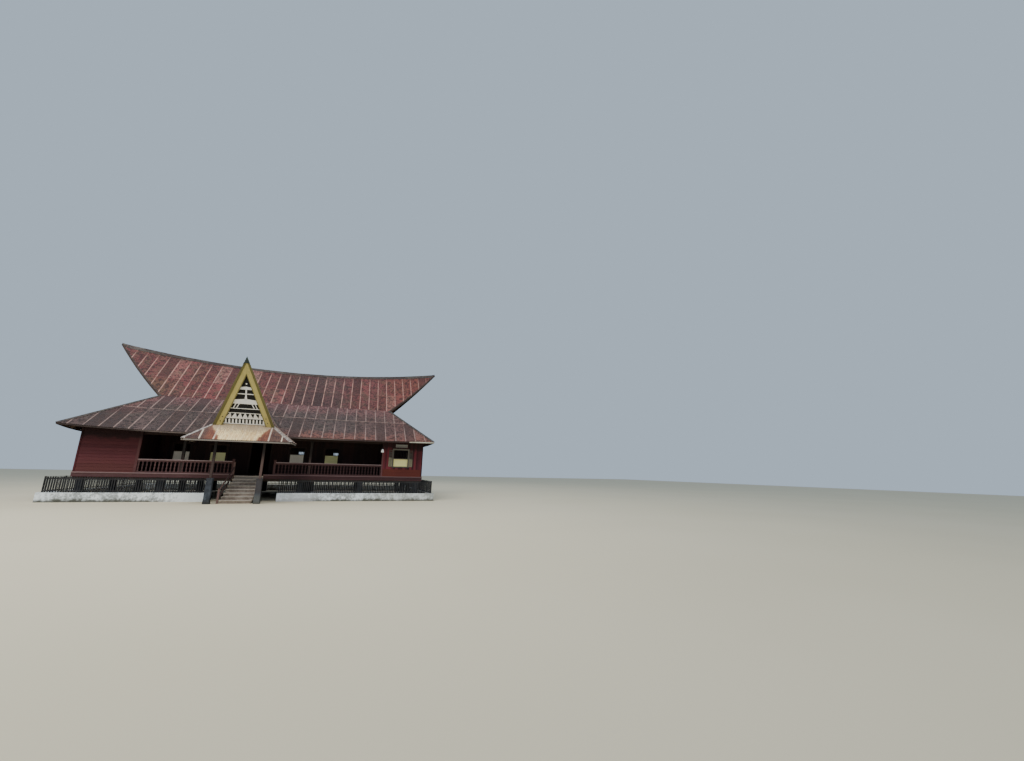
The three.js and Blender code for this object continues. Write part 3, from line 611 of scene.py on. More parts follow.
def skirt_surface(side):
    """The slope of a skirt roof: a distance along it and a share of the way up give a point"""
    turn, eave_along, eave_out, break_along, break_out = SIDES[side]

    def surface(along, v):
        u = along / lerp(eave_along, break_along, v)
        eave_x = turned_out(turn, u * eave_along, eave_out)[0]
        lift = LIFT_LEFT if eave_x < 0 else LIFT_RIGHT
        near_corner = max(0.0, (abs(u) * eave_along - LIFT_START) / (eave_along - LIFT_START))
        x, y = turned_out(turn, along, lerp(eave_out, break_out, v))
        return x, y, lerp(EAVE_Z + lift * near_corner ** 2, BREAK_Z, v)
    return surface


def upper_surface(side):
    def surface(along, v):
        x, y = turned_out(UPPER_TURNS[side], along, lerp(BREAK_OUT, 0.0, v))
        return x, y, lerp(BREAK_Z, ridge_z(x), v)
    return surface


WAVE = 0.0764
WAVE_HEIGHT = 0.009
WAVE_STEPS = 8
SHEET_STEPS = 3
SHEET_THICK = 0.003
SHEET_SLIP = 0.004
SHEET_TILT = 0.0012
SHORTEST_SHEET = 0.004
SHEET_OVERLAP = WAVE * 0.6
LAPPED_EDGE = WAVE * 0.75
SIDE_LAP = 0.006
END_LAP = 0.008
# Added up the slope on the lowest row, whose ends lie on no other sheet and have no pale edge
PLAIN_END = 0.1


def corrugated(piece, surface, span, rows, limits, seam_phase, pitch, slope_length, lift=0.014):
    """Sheets laid side by side up a slope, each one wave over its neighbour and over the row below

    surface(along, v) is the slope, limits(along) gives its lowest and highest v there.
    """
    first = math.floor((span[0] - seam_phase) / pitch)
    last = math.ceil((span[1] - seam_phase) / pitch)
    step = WAVE / WAVE_STEPS
    for row, (bottom, top) in enumerate(rows):
        for index in range(first, last):
            left = seam_phase + index * pitch
            shade = draw.random()
            slip = draw.uniform(-SHEET_SLIP, SHEET_SLIP)
            tilt = draw.uniform(-SHEET_TILT, SHEET_TILT)
            columns = []
            for j in range(int((pitch + SHEET_OVERLAP) / step) + 1):
                along = clamp(left + j * step, *span)
                low, high = limits(along)
                start = max(bottom + (slip if bottom == low == 0 else 0.0), low)
                end = min(top, high)
                apart = not columns or along - columns[-1][0] >= step / 2
                if apart and end - start >= SHORTEST_SHEET:
                    columns.append((along, start, end))
            if len(columns) < 2:
                continue
            grid, across, upslope = [], [], []
            for along, start, end in columns:
                side_lap = SIDE_LAP if along - left < LAPPED_EDGE else 0.0
                ripple = WAVE_HEIGHT * math.cos(2 * math.pi * (along - seam_phase) / WAVE)
                tipped = tilt * ((along - left) / pitch - 0.5) * 2
                grid.append([])
                for up in evenly(0.0, 1.0, SHEET_STEPS):
                    v = lerp(start, end, up)
                    x, y, z = surface(along, v)
                    end_lap = END_LAP * (1 - up) if row else 0.0
                    grid[-1].append((x, y, z + lift + ripple + side_lap + tipped + end_lap))
                    across.append(along - left)
                    upslope.append((v - bottom) * slope_length + (0.0 if row else PLAIN_END))
            piece.sheet(grid, SHEET_THICK, shade, across * 2, upslope * 2)


SEAM_PITCH = 0.55
SKIRT_PHASE = -5.87
UPPER_PHASE = -5.72
SKIRT_LAP = 0.56
UPPER_LAP = 0.42
SLOPE_LAP = 0.03
UPPER_LIFT = 0.018


def skirt_limits(side):
    _, eave_along, _, break_along, _ = SIDES[side]

    def limits(along):
        past = max(0.0, abs(along) - break_along)
        return 0.0, clamp(1.0 - past / (eave_along - break_along), 0.0, 1.0)
    return limits


def upper_limits(along):
    return clamp((abs(along) - BREAK_HALF) / (TIP_HALF - BREAK_HALF), 0.0, 1.0), 1.0


def add_main_roof():
    """The corrugated sheets of the four skirt roofs and the two upper slopes"""
    for side, (_, eave_along, eave_out, _, break_out) in SIDES.items():
        sheets = Piece()
        slope = math.hypot(eave_out - break_out, BREAK_Z - EAVE_Z)
        rows = [(0.0, SKIRT_LAP + SLOPE_LAP), (SKIRT_LAP, 1.0)]
        corrugated(sheets, skirt_surface(side), (-eave_along, eave_along), rows,
                   skirt_limits(side), SKIRT_PHASE, SEAM_PITCH, slope)
        look = "skirt_zinc" if side in LONG_SIDES else "end_zinc"
        sheets.make(f"skirt_sheets_{side}", look, "skirt_roof_zinc", [f"skirt_roof_{side}"])
    slope = math.hypot(BREAK_OUT, RIDGE_MIDDLE_Z - BREAK_Z)
    for side in LONG_SIDES:
        sheets = Piece()
        rows = [(0.0, UPPER_LAP + SLOPE_LAP), (UPPER_LAP, 1.0)]
        corrugated(sheets, upper_surface(side), (-TIP_HALF, TIP_HALF), rows, upper_limits,
                   UPPER_PHASE, SEAM_PITCH, slope, UPPER_LIFT)
        sheets.make(f"upper_sheets_{side}", "upper_zinc", "upper_roof_zinc", [f"upper_roof_{side}"])


CAP_THICK = 0.004
CAP_LIFT = 0.034
RIDGE_WING = 0.19
RIDGE_CAP_LENGTH = 1.1
RIDGE_CAP_LAP = 0.05
HIP_WING = 0.16
HIP_BEND = 0.08
HIP_LIFT = 0.03


def add_ridge_cap():
    """Lengths of capping bent over the ridge, each second one a little higher"""
    cap = Piece()
    count = math.ceil(2 * TIP_HALF / RIDGE_CAP_LENGTH)
    length = 2 * TIP_HALF / count
    for index in range(count):
        start = -TIP_HALF + index * length
        end = start + length + (RIDGE_CAP_LAP if index < count - 1 else 0.0)
        rows = []
        for x in evenly(start, end, 6):
            slope = (ridge_z(x) - BREAK_Z) / BREAK_OUT
            wing = clamp(BREAK_OUT * (1 - upper_limits(x)[0]) - 0.01, 0.025, RIDGE_WING)
            rows.append([])
            for across in (-1.0, -0.6, -0.2, -0.1, 0.0, 0.1, 0.2, 0.6, 1.0):
                y = across * wing
                crown = 0.02 if abs(across) < 0.15 else 0.0
                fall = slope * abs(y) if abs(across) > 0.05 else slope * 0.02
                top = ridge_z(x) + CAP_LIFT + 0.005 * (index % 2)
                rows[-1].append((x, BODY_MIDDLE + y, top + crown - fall))
        cap.sheet(rows, CAP_THICK)
    cap.make("ridge_capping", "cap_zinc", "ridge_zinc", ["ridge_cap"])


def cap_hip(caps, here, there, wing, near, lift, parts):
    """A capping bent over a hip; here and there give a point of each slope at a distance from it"""
    rows = []
    for v in evenly(0.0, 1.0, parts):
        row = [here(distance, v) for distance in (wing, near, 0.0)]
        row += [there(distance, v) for distance in (near, wing)]
        rows.append([(x, y, z + lift + 0.008 * (i == 2)) for i, (x, y, z) in enumerate(row)])
    caps.sheet(rows, CAP_THICK)


def from_hip(side, sign):
    _, eave_along, _, break_along, _ = SIDES[side]
    surface = skirt_surface(side)
    return lambda distance, v: surface(sign * (lerp(eave_along, break_along, v) - distance), v)


def add_hip_caps():
    caps = Piece()
    for side, other, sign in (("front", "left", -1), ("front", "right", 1), ("rear", "left", 1),
                              ("rear", "right", -1)):
        cap_hip(caps, from_hip(side, sign), from_hip(other, -sign), HIP_WING, HIP_BEND,
                HIP_LIFT, 8)
    caps.make("hip_capping", "cap_zinc", "skirt_roof_zinc")


def stretches(surface, half, v, parts):
    """The ends of short straight bars that follow a slope at one height"""
    marks = [surface(along, v) for along in evenly(-half, half, parts)]
    return zip(marks, marks[1:])


PALE_EAVE_X = 7.0
EAVE_BOARD = (0.022, 0.07)
VERGE_BOARD = (0.03, 0.09)
VERGE_FLASHING = 0.07


def add_roof_edges():
    """Boards under the eaves and along the sloping ends of the upper roof"""
    eaves, pale_eaves, verges, flashing = Piece(), Piece(), Piece(), Piece()
    for side, (_, eave_along, _, _, _) in SIDES.items():
        for a, b in stretches(skirt_surface(side), eave_along - 0.03, 0.012, 24):
            # The front eave board is paler from X 7.0 on
            on_pale_stretch = side == "front" and a[0] > PALE_EAVE_X
            (pale_eaves if on_pale_stretch else eaves).bar(a, b, EAVE_BOARD, 0.5, 0.012)
    eaves.make("eave_boards", "eave_paint", "edge_boards", bevel=0.003)
    pale_eaves.make("eave_board_right", "pale_eave_paint", "edge_boards", bevel=0.003)
    for side in LONG_SIDES:
        surface = upper_surface(side)
        for sign in (-1, 1):
            inset, outer, inner = ([surface(sign * (lerp(BREAK_HALF, TIP_HALF, v) - back), v)
                                    for v in evenly(0.0, 1.0, 8)] for back in (0.03, 0.0, VERGE_FLASHING))
            for a, b in zip(inset, inset[1:]):
                verges.bar(a, b, VERGE_BOARD, 0.5)
            flashing.sheet([[(x, y, z + CAP_LIFT) for x, y, z in pair] for pair in zip(outer, inner)],
                           CAP_THICK)
    verges.make("verge_boards", "dark_timber", "edge_boards", bevel=0.003)
    flashing.make("verge_flashing", "cap_zinc", "ridge_zinc")


COVER_PITCH = 0.27
COVER_STRIP = (0.045, 0.018)


def add_gable_end_battens():
    """Upright cover strips on the boarded ends under the tips of the upper roof"""
    def face_x(z):
        return GABLE_FACE + (z - BREAK_Z) * GABLE_LEAN

    strips = Piece()
    reach = int((BREAK_OUT - 0.2) / COVER_PITCH)
    foot = BREAK_Z + 0.03
    for sign in (-1, 1):
        for i in range(-reach, reach + 1):
            y = BODY_MIDDLE + i * COVER_PITCH
            v = 1 - abs(i) * COVER_PITCH / BREAK_OUT
            top = BREAK_Z
            for _ in range(8):
                top = lerp(BREAK_Z, ridge_z(face_x(top)), v) - 0.14
            strips.bar((sign * face_x(foot), y, foot), (sign * face_x(top), y, top), COVER_STRIP)
    strips.make("gable_end_battens", "gable_end_paint", "maroon_boards", bevel=0.003)


RAFTER_PITCH = 0.9
UPPER_RAFTER_PITCH = 0.86
RAFTER = (0.06, 0.09)
SHORT_RAFTER = (0.05, 0.08)
BATTEN = (0.05, 0.035)


def add_roof_timbers():
    """Rafters and battens under the main roof"""
    rafters, battens = Piece(), Piece()
    for side, (_, eave_along, _, break_along, _) in SIDES.items():
        surface, limits = skirt_surface(side), skirt_limits(side)
        reach = eave_along - 0.12
        for along in evenly(-reach, reach, int(2 * eave_along / RAFTER_PITCH)):
            top = limits(along)[1] - 0.02
            if top > 0.1:
                rafters.bar(surface(along, 0.02), surface(along, top), RAFTER, drop=0.042)
        for v in (0.03, 0.25, 0.5, 0.75, 0.96):
            for a, b in stretches(surface, lerp(eave_along, break_along, v) - 0.05, v, 8):
                battens.bar(a, b, BATTEN, 0.4, 0.022)
    for side in LONG_SIDES:
        surface = upper_surface(side)
        for v in (0.04, 0.28, 0.52, 0.76, 0.95):
            for a, b in stretches(surface, lerp(BREAK_HALF, TIP_HALF, v) - 0.05, v, 12):
                battens.bar(a, b, BATTEN, 0.4, 0.022)
        for i in range(-7, 8):
            along = i * UPPER_RAFTER_PITCH
            rafters.bar(surface(along, 0.01), surface(along, 0.98), RAFTER, drop=0.045)
        for sign in (-1, 1):
            for v in (0.25, 0.55, 0.8):
                along = sign * lerp(BREAK_HALF, TIP_HALF, v)
                rafters.bar(surface(along, v + 0.02), surface(along, 0.98), SHORT_RAFTER, drop=0.045)
    rafters.make("rafters", "dark_timber", "grey_timber")
    battens.make("roof_battens", "dark_timber", "grey_timber")


def under_roof(x, y):
    """The underside of the main skirt roofs over a point of the walls"""
    heights = [BREAK_Z]
    for side, (_, eave_along, eave_out, break_along, break_out) in SIDES.items():
        along, out = y - BODY_MIDDLE, abs(x)
        if side in LONG_SIDES:
            along, out = x, abs(y - BODY_MIDDLE)
        v = (eave_out - out) / (eave_out - break_out)
        if v <= 1.0:
            half = lerp(eave_along, break_along, v)
            heights.append(skirt_surface(side)(clamp(along, -half, half), v)[2])
    return min(heights) - ROOF_THICK - 0.01


# Each wall takes a distance along it, a depth into it and a height, and gives the point
WALL_PLACES = {
    "front": lambda s, d, z: (s, d, z),
    "rear": lambda s, d, z: (s, BODY_DEPTH - d, z),
    "left": lambda s, d, z: (-WALL_HALF + d, s, z),
    "right": lambda s, d, z: (WALL_HALF - d, s, z),
    "back": lambda s, d, z: (s, VERANDAH_DEPTH + d, z),
    "room_left": lambda s, d, z: (-ROOM_X - d, s, z),
    "room_right": lambda s, d, z: (ROOM_X + d, s, z),
}


def cut_lengths(span, blocked):
    """What is left of a span once the blocked parts are taken out"""
    left = [span]
    for low, high in blocked:
        left = [(a, b) for start, end in left for a, b in ((start, min(end, low)), (max(start, high), end))
                if b > a]
    return left


GROOVE = 0.005
TONGUE = 0.02
BOARD_SUNK = 0.004
TRIM_STEP = 0.05


def lapped(low, high, sunk):
    """Section of a level board whose foot stands a little over the one below"""
    return [(sunk, low + GROOVE), (TONGUE, low + GROOVE), (TONGUE, low), (WALL_THICK, low),
            (WALL_THICK, high), (sunk + 0.012, high)]


def tongued(low, high, sunk):
    """Plan of an upright board with a groove at each edge of its outer face"""
    a, b = low + GROOVE / 2, high - GROOVE / 2
    return [(a, sunk), (b, sunk), (b, TONGUE), (high, TONGUE), (high, WALL_THICK),
            (low, WALL_THICK), (low, TONGUE), (a, TONGUE)]


def boards(piece, where, span, height, holes=(), width=0.2, upright=True, under=True):
    """A wall of separate boards, cut round its openings and under the roof"""
    place = WALL_PLACES[where]

    def roof(s):
        return under_roof(*place(s, 0.0, 0.0)[:2]) if under else math.inf

    across, along = (span, height) if upright else (height, span)
    cuts = [(hole[:2], hole[2:]) if upright else (hole[2:], hole[:2]) for hole in holes]
    marks = sorted({*across, *(mark for cut, _ in cuts for mark in cut)})
    for low, high in zip(marks, marks[1:]):
        edges = evenly(low, high, max(1, round((high - low) / width)))
        for a, b in zip(edges, edges[1:]):
            blocked = [length for (near, far), length in cuts if near < (a + b) / 2 < far]
            for c, d in cut_lengths(along, blocked):
                sunk = draw.uniform(0.0, BOARD_SUNK)
                if upright:
                    top = min(d, roof(a), roof(b))
                    piece.prism(tongued(a, b, sunk), (c, top), lambda s, z, d: place(s, d, z))
                    continue
                while c < d and roof(c) < b:
                    c += TRIM_STEP
                while c < d and roof(d) < b:
                    d -= TRIM_STEP
                if d - c > 2 * TRIM_STEP:
                    piece.prism(lapped(a, b, sunk), (c, d), lambda t, s, z: place(s, t, z))


def window_hole(middle):
    return (middle - WINDOW_WIDTH / 2, middle + WINDOW_WIDTH / 2, *WINDOW_Z)


VERANDAH_WINDOWS = (-4.7, -3.0, 0.98, 2.88)
REAR_WINDOWS = (-5.8, -3.45, 0.8, 3.2, 5.6)
END_WINDOWS = (2.9, 6.7)
ROOM_WINDOW = 6.73
# Tall boards reach up to here where the roof doesn't cut them lower
LONG_WALL_TOP = 3.95
END_WALL_TOP = 3.62
BASE_TOP = 1.72
CORNER_TOP = 3.52
EDGE_BOARD_TOP = 3.9


def add_wall(name, look, slot, nodes, *size, **how):
    wall = Piece()
    boards(wall, *size, **how)
    wall.make(name, look, slot, nodes, 0.003)


def add_walls():
    """Every wall in boards, its corner posts, and the edge boards of the two rooms"""
    tall = (FLOOR_TOP, LONG_WALL_TOP)
    add_wall("left_room_boards", "maroon_paint", "maroon_boards", ["front_wall_left_room"],
             "front", (-WALL_HALF, -ROOM_X), tall, width=0.15, upright=False)
    add_wall("right_room_base_boards", "base_board_paint", "maroon_boards", [],
             "front", (ROOM_X, WALL_HALF), (FLOOR_TOP, BASE_TOP), width=0.16, upright=False)
    add_wall("right_room_boards", "room_paint", "maroon_boards", ["front_wall_right_room"],
             "front", (ROOM_X, WALL_HALF), (BASE_TOP, LONG_WALL_TOP), [window_hole(ROOM_WINDOW)], 0.13)
    add_wall("rear_boards", "maroon_paint_upright", "maroon_boards", ["rear_wall"],
             "rear", (-WALL_HALF, WALL_HALF), tall, [window_hole(x) for x in REAR_WINDOWS], 0.22)
    for side in ("left", "right"):
        add_wall(f"end_boards_{side}", "maroon_paint_upright", "maroon_boards", [f"end_wall_{side}"],
                 side, (WALL_THICK, BODY_DEPTH - WALL_THICK), (FLOOR_TOP, END_WALL_TOP),
                 [window_hole(y) for y in END_WINDOWS], 0.22)
        add_wall(f"room_boards_{side}", "inner_paint", "inner_boards", [f"room_wall_{side}"],
                 f"room_{side}", (WALL_THICK, VERANDAH_DEPTH), (FLOOR_TOP, INNER_WALL_TOP), under=False)
    holes = [window_hole(x) for x in VERANDAH_WINDOWS] + [(*DOOR_X, FLOOR_TOP, DOOR_HEAD)]
    outer = ROOM_X + WALL_THICK
    add_wall("back_wall_boards", "inner_paint", "inner_boards", ["verandah_back_wall"],
             "back", (-outer, outer), (FLOOR_TOP, INNER_WALL_TOP), holes, under=False)
    corners, edges = Piece(), Piece()
    inner, outer = 0.05, 0.015
    for x0, x1 in ((-WALL_HALF - outer, -WALL_HALF + inner), (WALL_HALF - inner, WALL_HALF + outer)):
        for y0, y1 in ((-outer, inner), (BODY_DEPTH - inner, BODY_DEPTH + outer)):
            corners.block((x0, y0, FLOOR_TOP), (x1, y1, CORNER_TOP))
    corners.make("corner_posts", "maroon_paint_upright", "maroon_boards", bevel=0.005)
    for x0, x1, shade in ((-ROOM_X - 0.08, -ROOM_X + 0.03, 0.5), (ROOM_X - 0.04, ROOM_X + 0.04, 0.9)):
        edges.block((x0, -0.018, FLOOR_TOP), (x1, 0.05, EDGE_BOARD_TOP), shade=shade)
    edges.make("room_edge_boards", "corner_paint", "maroon_boards", bevel=0.005)


WINDOW_BARS = 8
CASING = 0.06
PANEL_SHARE = 0.47
PANEL_STILE = 0.06


def add_window(casing, panels, bars, where, middle, panel_share=PANEL_SHARE, reveal=0.01):
    """A cased window with a boarded panel in its lower part and upright bars above"""
    place = WALL_PLACES[where]
    low, high = middle - WINDOW_WIDTH / 2, middle + WINDOW_WIDTH / 2
    sill, head = WINDOW_Z
    for a, b in ((low - CASING, low + reveal), (high - reveal, high + CASING)):
        casing.block((a, -0.022, sill - 0.01), (b, 0.07, head + 0.01), place)
    a, b = low - CASING, high + CASING
    casing.block((a - 0.02, -0.045, sill - 0.06), (b + 0.02, 0.08, sill), place)
    casing.block((a - 0.01, -0.026, head), (b + 0.01, 0.07, head + 0.08), place)
    top = lerp(sill, head, panel_share)
    casing.block((low, 0.01, top - 0.02), (high, 0.05, top + 0.02), place)
    for x in evenly(low, high, WINDOW_BARS + 1)[1:-1]:
        bars.block((x - 0.012, 0.022, top), (x + 0.012, 0.044, head), place)
    left, right = low + reveal, high - reveal
    panels.block((left, 0.02, sill), (right, 0.035, top), place)
    for x in (left + 0.005, right - 0.005 - PANEL_STILE):
        panels.block((x, 0.012, sill + 0.01), (x + PANEL_STILE, 0.03, top - 0.02), place)
    for z in (sill + 0.04, top - 0.05):
        panels.block((left + 0.065, 0.012, z - 0.025), (right - 0.065, 0.03, z + 0.025), place)


SHUTTER_WIDTH = 0.2
SHUTTER_STILE = 0.035
SHUTTER_RAIL = 0.05
LOUVRE_PITCH = 0.036


def add_shutters(shutters, where, middle):
    """Two narrow louvred leaves, folded back at the sides of a window"""
    place = WALL_PLACES[where]
    sill, head = WINDOW_Z

    def leaning(across, depth, z):
        return place(across, depth + ((z - sill) % LOUVRE_PITCH) * 0.5, z)

    for sign in (-1, 1):
        edge = middle + sign * (WINDOW_WIDTH / 2 + 0.07)
        a, b = sorted((edge, edge + sign * SHUTTER_WIDTH))
        for x in (a, b - SHUTTER_STILE):
            shutters.block((x, -0.034, sill), (x + SHUTTER_STILE, -0.004, head), place)
        for z in (sill, lerp(sill, head, PANEL_SHARE), head - SHUTTER_RAIL):
            shutters.block((a + 0.03, -0.032, z), (b - 0.03, -0.006, z + SHUTTER_RAIL), place)
        for k in range(2, 24):
            z = sill + LOUVRE_PITCH * k + 0.001
            shutters.block((a + 0.03, -0.028, z), (b - 0.03, -0.02, z + 0.03), leaning)


VENT_X = (6.40, 7.08)
VENT_Z = (2.99, 3.17)


def add_windows():
    """All windows with their shutters, the vent over the room window and the door's casing"""
    casing, panels, shutters, bars, vent = Piece(), Piece(), Piece(), Piece(), Piece()
    inner_casing, pale_panels, grey_panels = Piece(), Piece(), Piece()
    outer = [("front", ROOM_WINDOW)] + [("rear", x) for x in REAR_WINDOWS]
    outer += [(side, y) for side in ("left", "right") for y in END_WINDOWS]
    for where, middle in outer:
        add_window(casing, panels, bars, where, middle)
        add_shutters(shutters, where, middle)
    for index, x in enumerate(VERANDAH_WINDOWS):
        add_window(inner_casing, pale_panels if index % 2 else grey_panels, bars, "back", x, 0.6, 0.05)
    (left, right), (bottom, top) = VENT_X, VENT_Z
    for z in (3.0, 3.04, 3.08, 3.12):
        vent.block((left + 0.02, -0.022, z), (right - 0.02, -0.002, z + 0.03))
    for x in (left, right - 0.03):
        vent.block((x, -0.028, bottom), (x + 0.03, 0.01, top))
    vent.block((left, -0.012, bottom), (right, 0.01, top))
    vent.make("room_vent", "vent_grey", "grey_timber", bevel=0.002)
    place = WALL_PLACES["back"]
    low, high = DOOR_X
    for a, b in ((low - 0.09, low + 0.01), (high - 0.01, high + 0.09)):
        inner_casing.block((a, -0.025, FLOOR_TOP), (b, 0.075, DOOR_HEAD), place)
    inner_casing.block((low - 0.12, -0.03, DOOR_HEAD), (high + 0.12, 0.075, DOOR_HEAD + 0.11), place)
    inner_casing.block((low, -0.01, FLOOR_TOP), (high, 0.07, FLOOR_TOP + 0.035), place)
    casing.make("window_casings", "grey_timber", "grey_timber", bevel=0.004)
    panels.make("window_panels", "panel_yellow", "edge_boards", bevel=0.003)
    inner_casing.make("inner_casings", "inner_trim", "grey_timber", bevel=0.004)
    pale_panels.make("pale_window_panels", "panel_pale", "edge_boards", bevel=0.003)
    grey_panels.make("grey_window_panels", "panel_grey", "edge_boards", bevel=0.003)
    bars.make("window_bars", "bar_paint", "dark_iron", bevel=0.002)
    shutters.make("window_shutters", "shutter_grey", "grey_timber", bevel=0.002)


# Half-widths of a sawn board baluster from its foot to its head
BALUSTER = ((0.0, 0.036), (0.1, 0.036), (0.16, 0.017), (0.24, 0.028), (0.36, 0.036), (0.46, 0.022),
            (0.5, 0.016), (0.54, 0.022), (0.64, 0.036), (0.76, 0.028), (0.84, 0.017), (0.9, 0.036),
            (1.0, 0.036))
BALUSTER_PITCH = 0.165
BALUSTER_Z = (1.36, 1.85)
BALUSTRADES = {"left": (-ROOM_X, -1.65), "right": (0.16, ROOM_X)}
NEWEL_TOP = 2.04
TOP_RAIL_Z = (1.84, 1.915)
FOOT_RAIL_Z = (1.30, 1.37)
CAP_TOP = 1.96
VERANDAH_POSTS = (-3.93, 1.88)
HEADER_BOTTOM = 3.15


def add_verandah():
    """Balustrades and posts along the open front of the verandah"""
    front = WALL_PLACES["front"]
    for name, (low, high) in BALUSTRADES.items():
        rail, cap = Piece(), Piece()
        cap.block((low, -0.012, TOP_RAIL_Z[1]), (high, 0.067, CAP_TOP), front)
        cap.make(f"balustrade_cap_{name}", "rail_cap_paint", "pink_boards", bevel=0.006)
        for (bottom, top), depth in ((TOP_RAIL_Z, 0.05), (FOOT_RAIL_Z, 0.055)):
            rail.block((low, 0.0, bottom), (high, depth, top), front)
        count = round((high - low) / BALUSTER_PITCH)
        for i in range(count):
            middle = lerp(low, high, (i + 0.5) / count)
            outline = [(middle + half, lerp(*BALUSTER_Z, t)) for t, half in BALUSTER]
            outline += [(middle - half, lerp(*BALUSTER_Z, t)) for t, half in reversed(BALUSTER)]
            rail.prism(outline, (0.012, 0.036), front)
        gate = high - 0.045 if name == "left" else low + 0.045
        rail.block((gate - 0.05, -0.02, FLOOR_TOP), (gate + 0.05, 0.08, NEWEL_TOP), front)
        rail.block((gate - 0.065, -0.035, NEWEL_TOP), (gate + 0.065, 0.095, NEWEL_TOP + 0.03), front)
        rail.make(f"balusters_{name}", "pink_boards", "pink_boards", [f"balustrade_{name}"], 0.004)
    posts = Piece()
    for x in VERANDAH_POSTS:
        for half, low, high in ((0.06, FLOOR_TOP, HEADER_BOTTOM), (0.075, FLOOR_TOP, FLOOR_TOP + 0.14),
                                (0.075, HEADER_BOTTOM - 0.12, HEADER_BOTTOM)):
            posts.block((x - half, 0.12 - half, low), (x + half, 0.12 + half, high))
    posts.make("verandah_posts", "post_timber", "grey_timber", ["verandah_post_1", "verandah_post_2"], 0.006)


PIER_XS = [-7.7 + 3.08 * i for i in range(6)]
ROW_YS = [0.15, 3.25, 6.35, 9.45]
PIER_TOP = 0.95
BEARER_TOP = 1.13
JOIST_BOTTOM = 1.08
PLANK_BOTTOM = 1.19
PLANKS = 76
JOISTS = 27
JOIST_REACH = 7.85
MOULDING_REACH = 8.03
MOULDING_Z = (1.255, 1.31)
BEAD_Z = (1.085, 1.11)


def taper_pier(piece, x, y, half, top):
    """A square pier, a little wider at its foot"""
    profile = ((0.0, half), (0.12, half), (0.16, half * 0.94), (top - 0.06, half * 0.88),
               (top - 0.05, half * 0.97), (top, half * 0.97))
    piece.skin([[(x - size, y - size, z), (x + size, y - size, z), (x + size, y + size, z),
                 (x - size, y + size, z)] for z, size in profile])


def add_floor():
    """Planks, joists, bearers and piers, and the mouldings on the floor's edge"""
    planks, joists, bearers, trims, beads = Piece(), Piece(), Piece(), Piece(), Piece()
    edges = evenly(-WALL_HALF, WALL_HALF, PLANKS)
    for a, b in zip(edges, edges[1:]):
        planks.block((a + 0.002, 0.0, PLANK_BOTTOM),
                     (b - 0.002, BODY_DEPTH, FLOOR_TOP - draw.uniform(0, 0.002)))
    planks.make("floor_planks", "deck_planks", "deck_boards", ["floor_deck"], 0.002)
    for x in evenly(-JOIST_REACH, JOIST_REACH, JOISTS - 1):
        joists.block((x - 0.03, 0.01, JOIST_BOTTOM), (x + 0.03, BODY_DEPTH - 0.01, PLANK_BOTTOM))
    joists.make("floor_joists", "dark_timber", "grey_timber")
    for row, y in enumerate(ROW_YS, 1):
        piers = Piece()
        for x in PIER_XS:
            taper_pier(piers, x, y, 0.15, PIER_TOP)
        piers.make(f"piers_row_{row}", "pier_stone", "concrete", [f"pier_row_{row}"], 0.012)
    for y in ROW_YS:
        bearers.block((-WALL_HALF, y - 0.09, PIER_TOP), (WALL_HALF, y + 0.09, BEARER_TOP))
    bearers.make("bearers", "dark_timber", "grey_timber", bevel=0.006)
    for a, b in ((-MOULDING_REACH, STAIR_X[0]), (STAIR_X[1], MOULDING_REACH)):
        trims.block((a, -0.05, MOULDING_Z[0]), (b, -0.028, MOULDING_Z[1]), shade=0.6)
        beads.block((a, -0.042, BEAD_Z[0]), (b, -0.028, BEAD_Z[1]), shade=0.4)
    trims.make("edge_mouldings", "pink_trim", "pink_boards", bevel=0.004)
    beads.make("edge_beads", "corner_paint", "pink_boards", bevel=0.004)


FENCE_TOP = 1.11
FENCE_FOOT = PLINTH_TOP - 0.01
FENCE_RAIL = (0.024, 0.035)
FENCE_RAIL_TOPS = (0.50, 1.02)
FENCE_POST = [(0.02, FENCE_FOOT), (0.02, FENCE_TOP - 0.05), (0.028, FENCE_TOP - 0.04),
              (0.02, FENCE_TOP - 0.01), (0.006, FENCE_TOP)]
PICKET_PITCH = 0.09
PICKET_HALF = 0.021
PICKET_DEPTHS = (-0.004, 0.004)
POST_EVERY = 16
FENCES = {
    "front_left": ((-8.48, -0.856), (-2.43, -0.856)),
    "front_right": ((0.65, -0.856), (8.48, -0.856)),
    "rear": ((-8.48, 10.456), (8.48, 10.456)),
    "left": ((-8.46, -0.83), (-8.46, 10.43)),
    "right": ((8.46, -0.83), (8.46, 10.43)),
}


def add_fences():
    """Iron picket fences that stand on the plinth wall"""
    for name, ((x0, y0), (x1, y1)) in FENCES.items():
        fence = Piece()
        level = y0 == y1
        for top in FENCE_RAIL_TOPS:
            fence.bar((x0, y0, top), (x1, y1, top), FENCE_RAIL, 0.5)
        count = round(math.hypot(x1 - x0, y1 - y0) / PICKET_PITCH)
        for i, at in enumerate(evenly(x0, x1, count) if level else evenly(y0, y1, count)):
            if i % POST_EVERY == 0 or i == count:
                fence.turned((at, y0) if level else (x0, at), FENCE_POST, 8)
                continue
            a, b = at - PICKET_HALF, at + PICKET_HALF
            outline = [(a, FENCE_FOOT), (b, FENCE_FOOT), (b, FENCE_TOP - 0.05), (at, FENCE_TOP),
                       (a, FENCE_TOP - 0.05)]
            fence.prism(outline, PICKET_DEPTHS,
                        lambda s, d, z: (s, y0 + d, z) if level else (x0 + d, s, z))
        fence.make(f"iron_fence_{name}", "dark_iron", "dark_iron", [f"fence_{name}"])


TREAD_THICK = 0.05
RAIL_X = -1.61
RAIL_Y = (-2.29, -0.07)
RAIL_FOOT_Z = 0.6
LOWER_RAIL_DROP = 0.36
HANDRAIL = (0.045, 0.07)


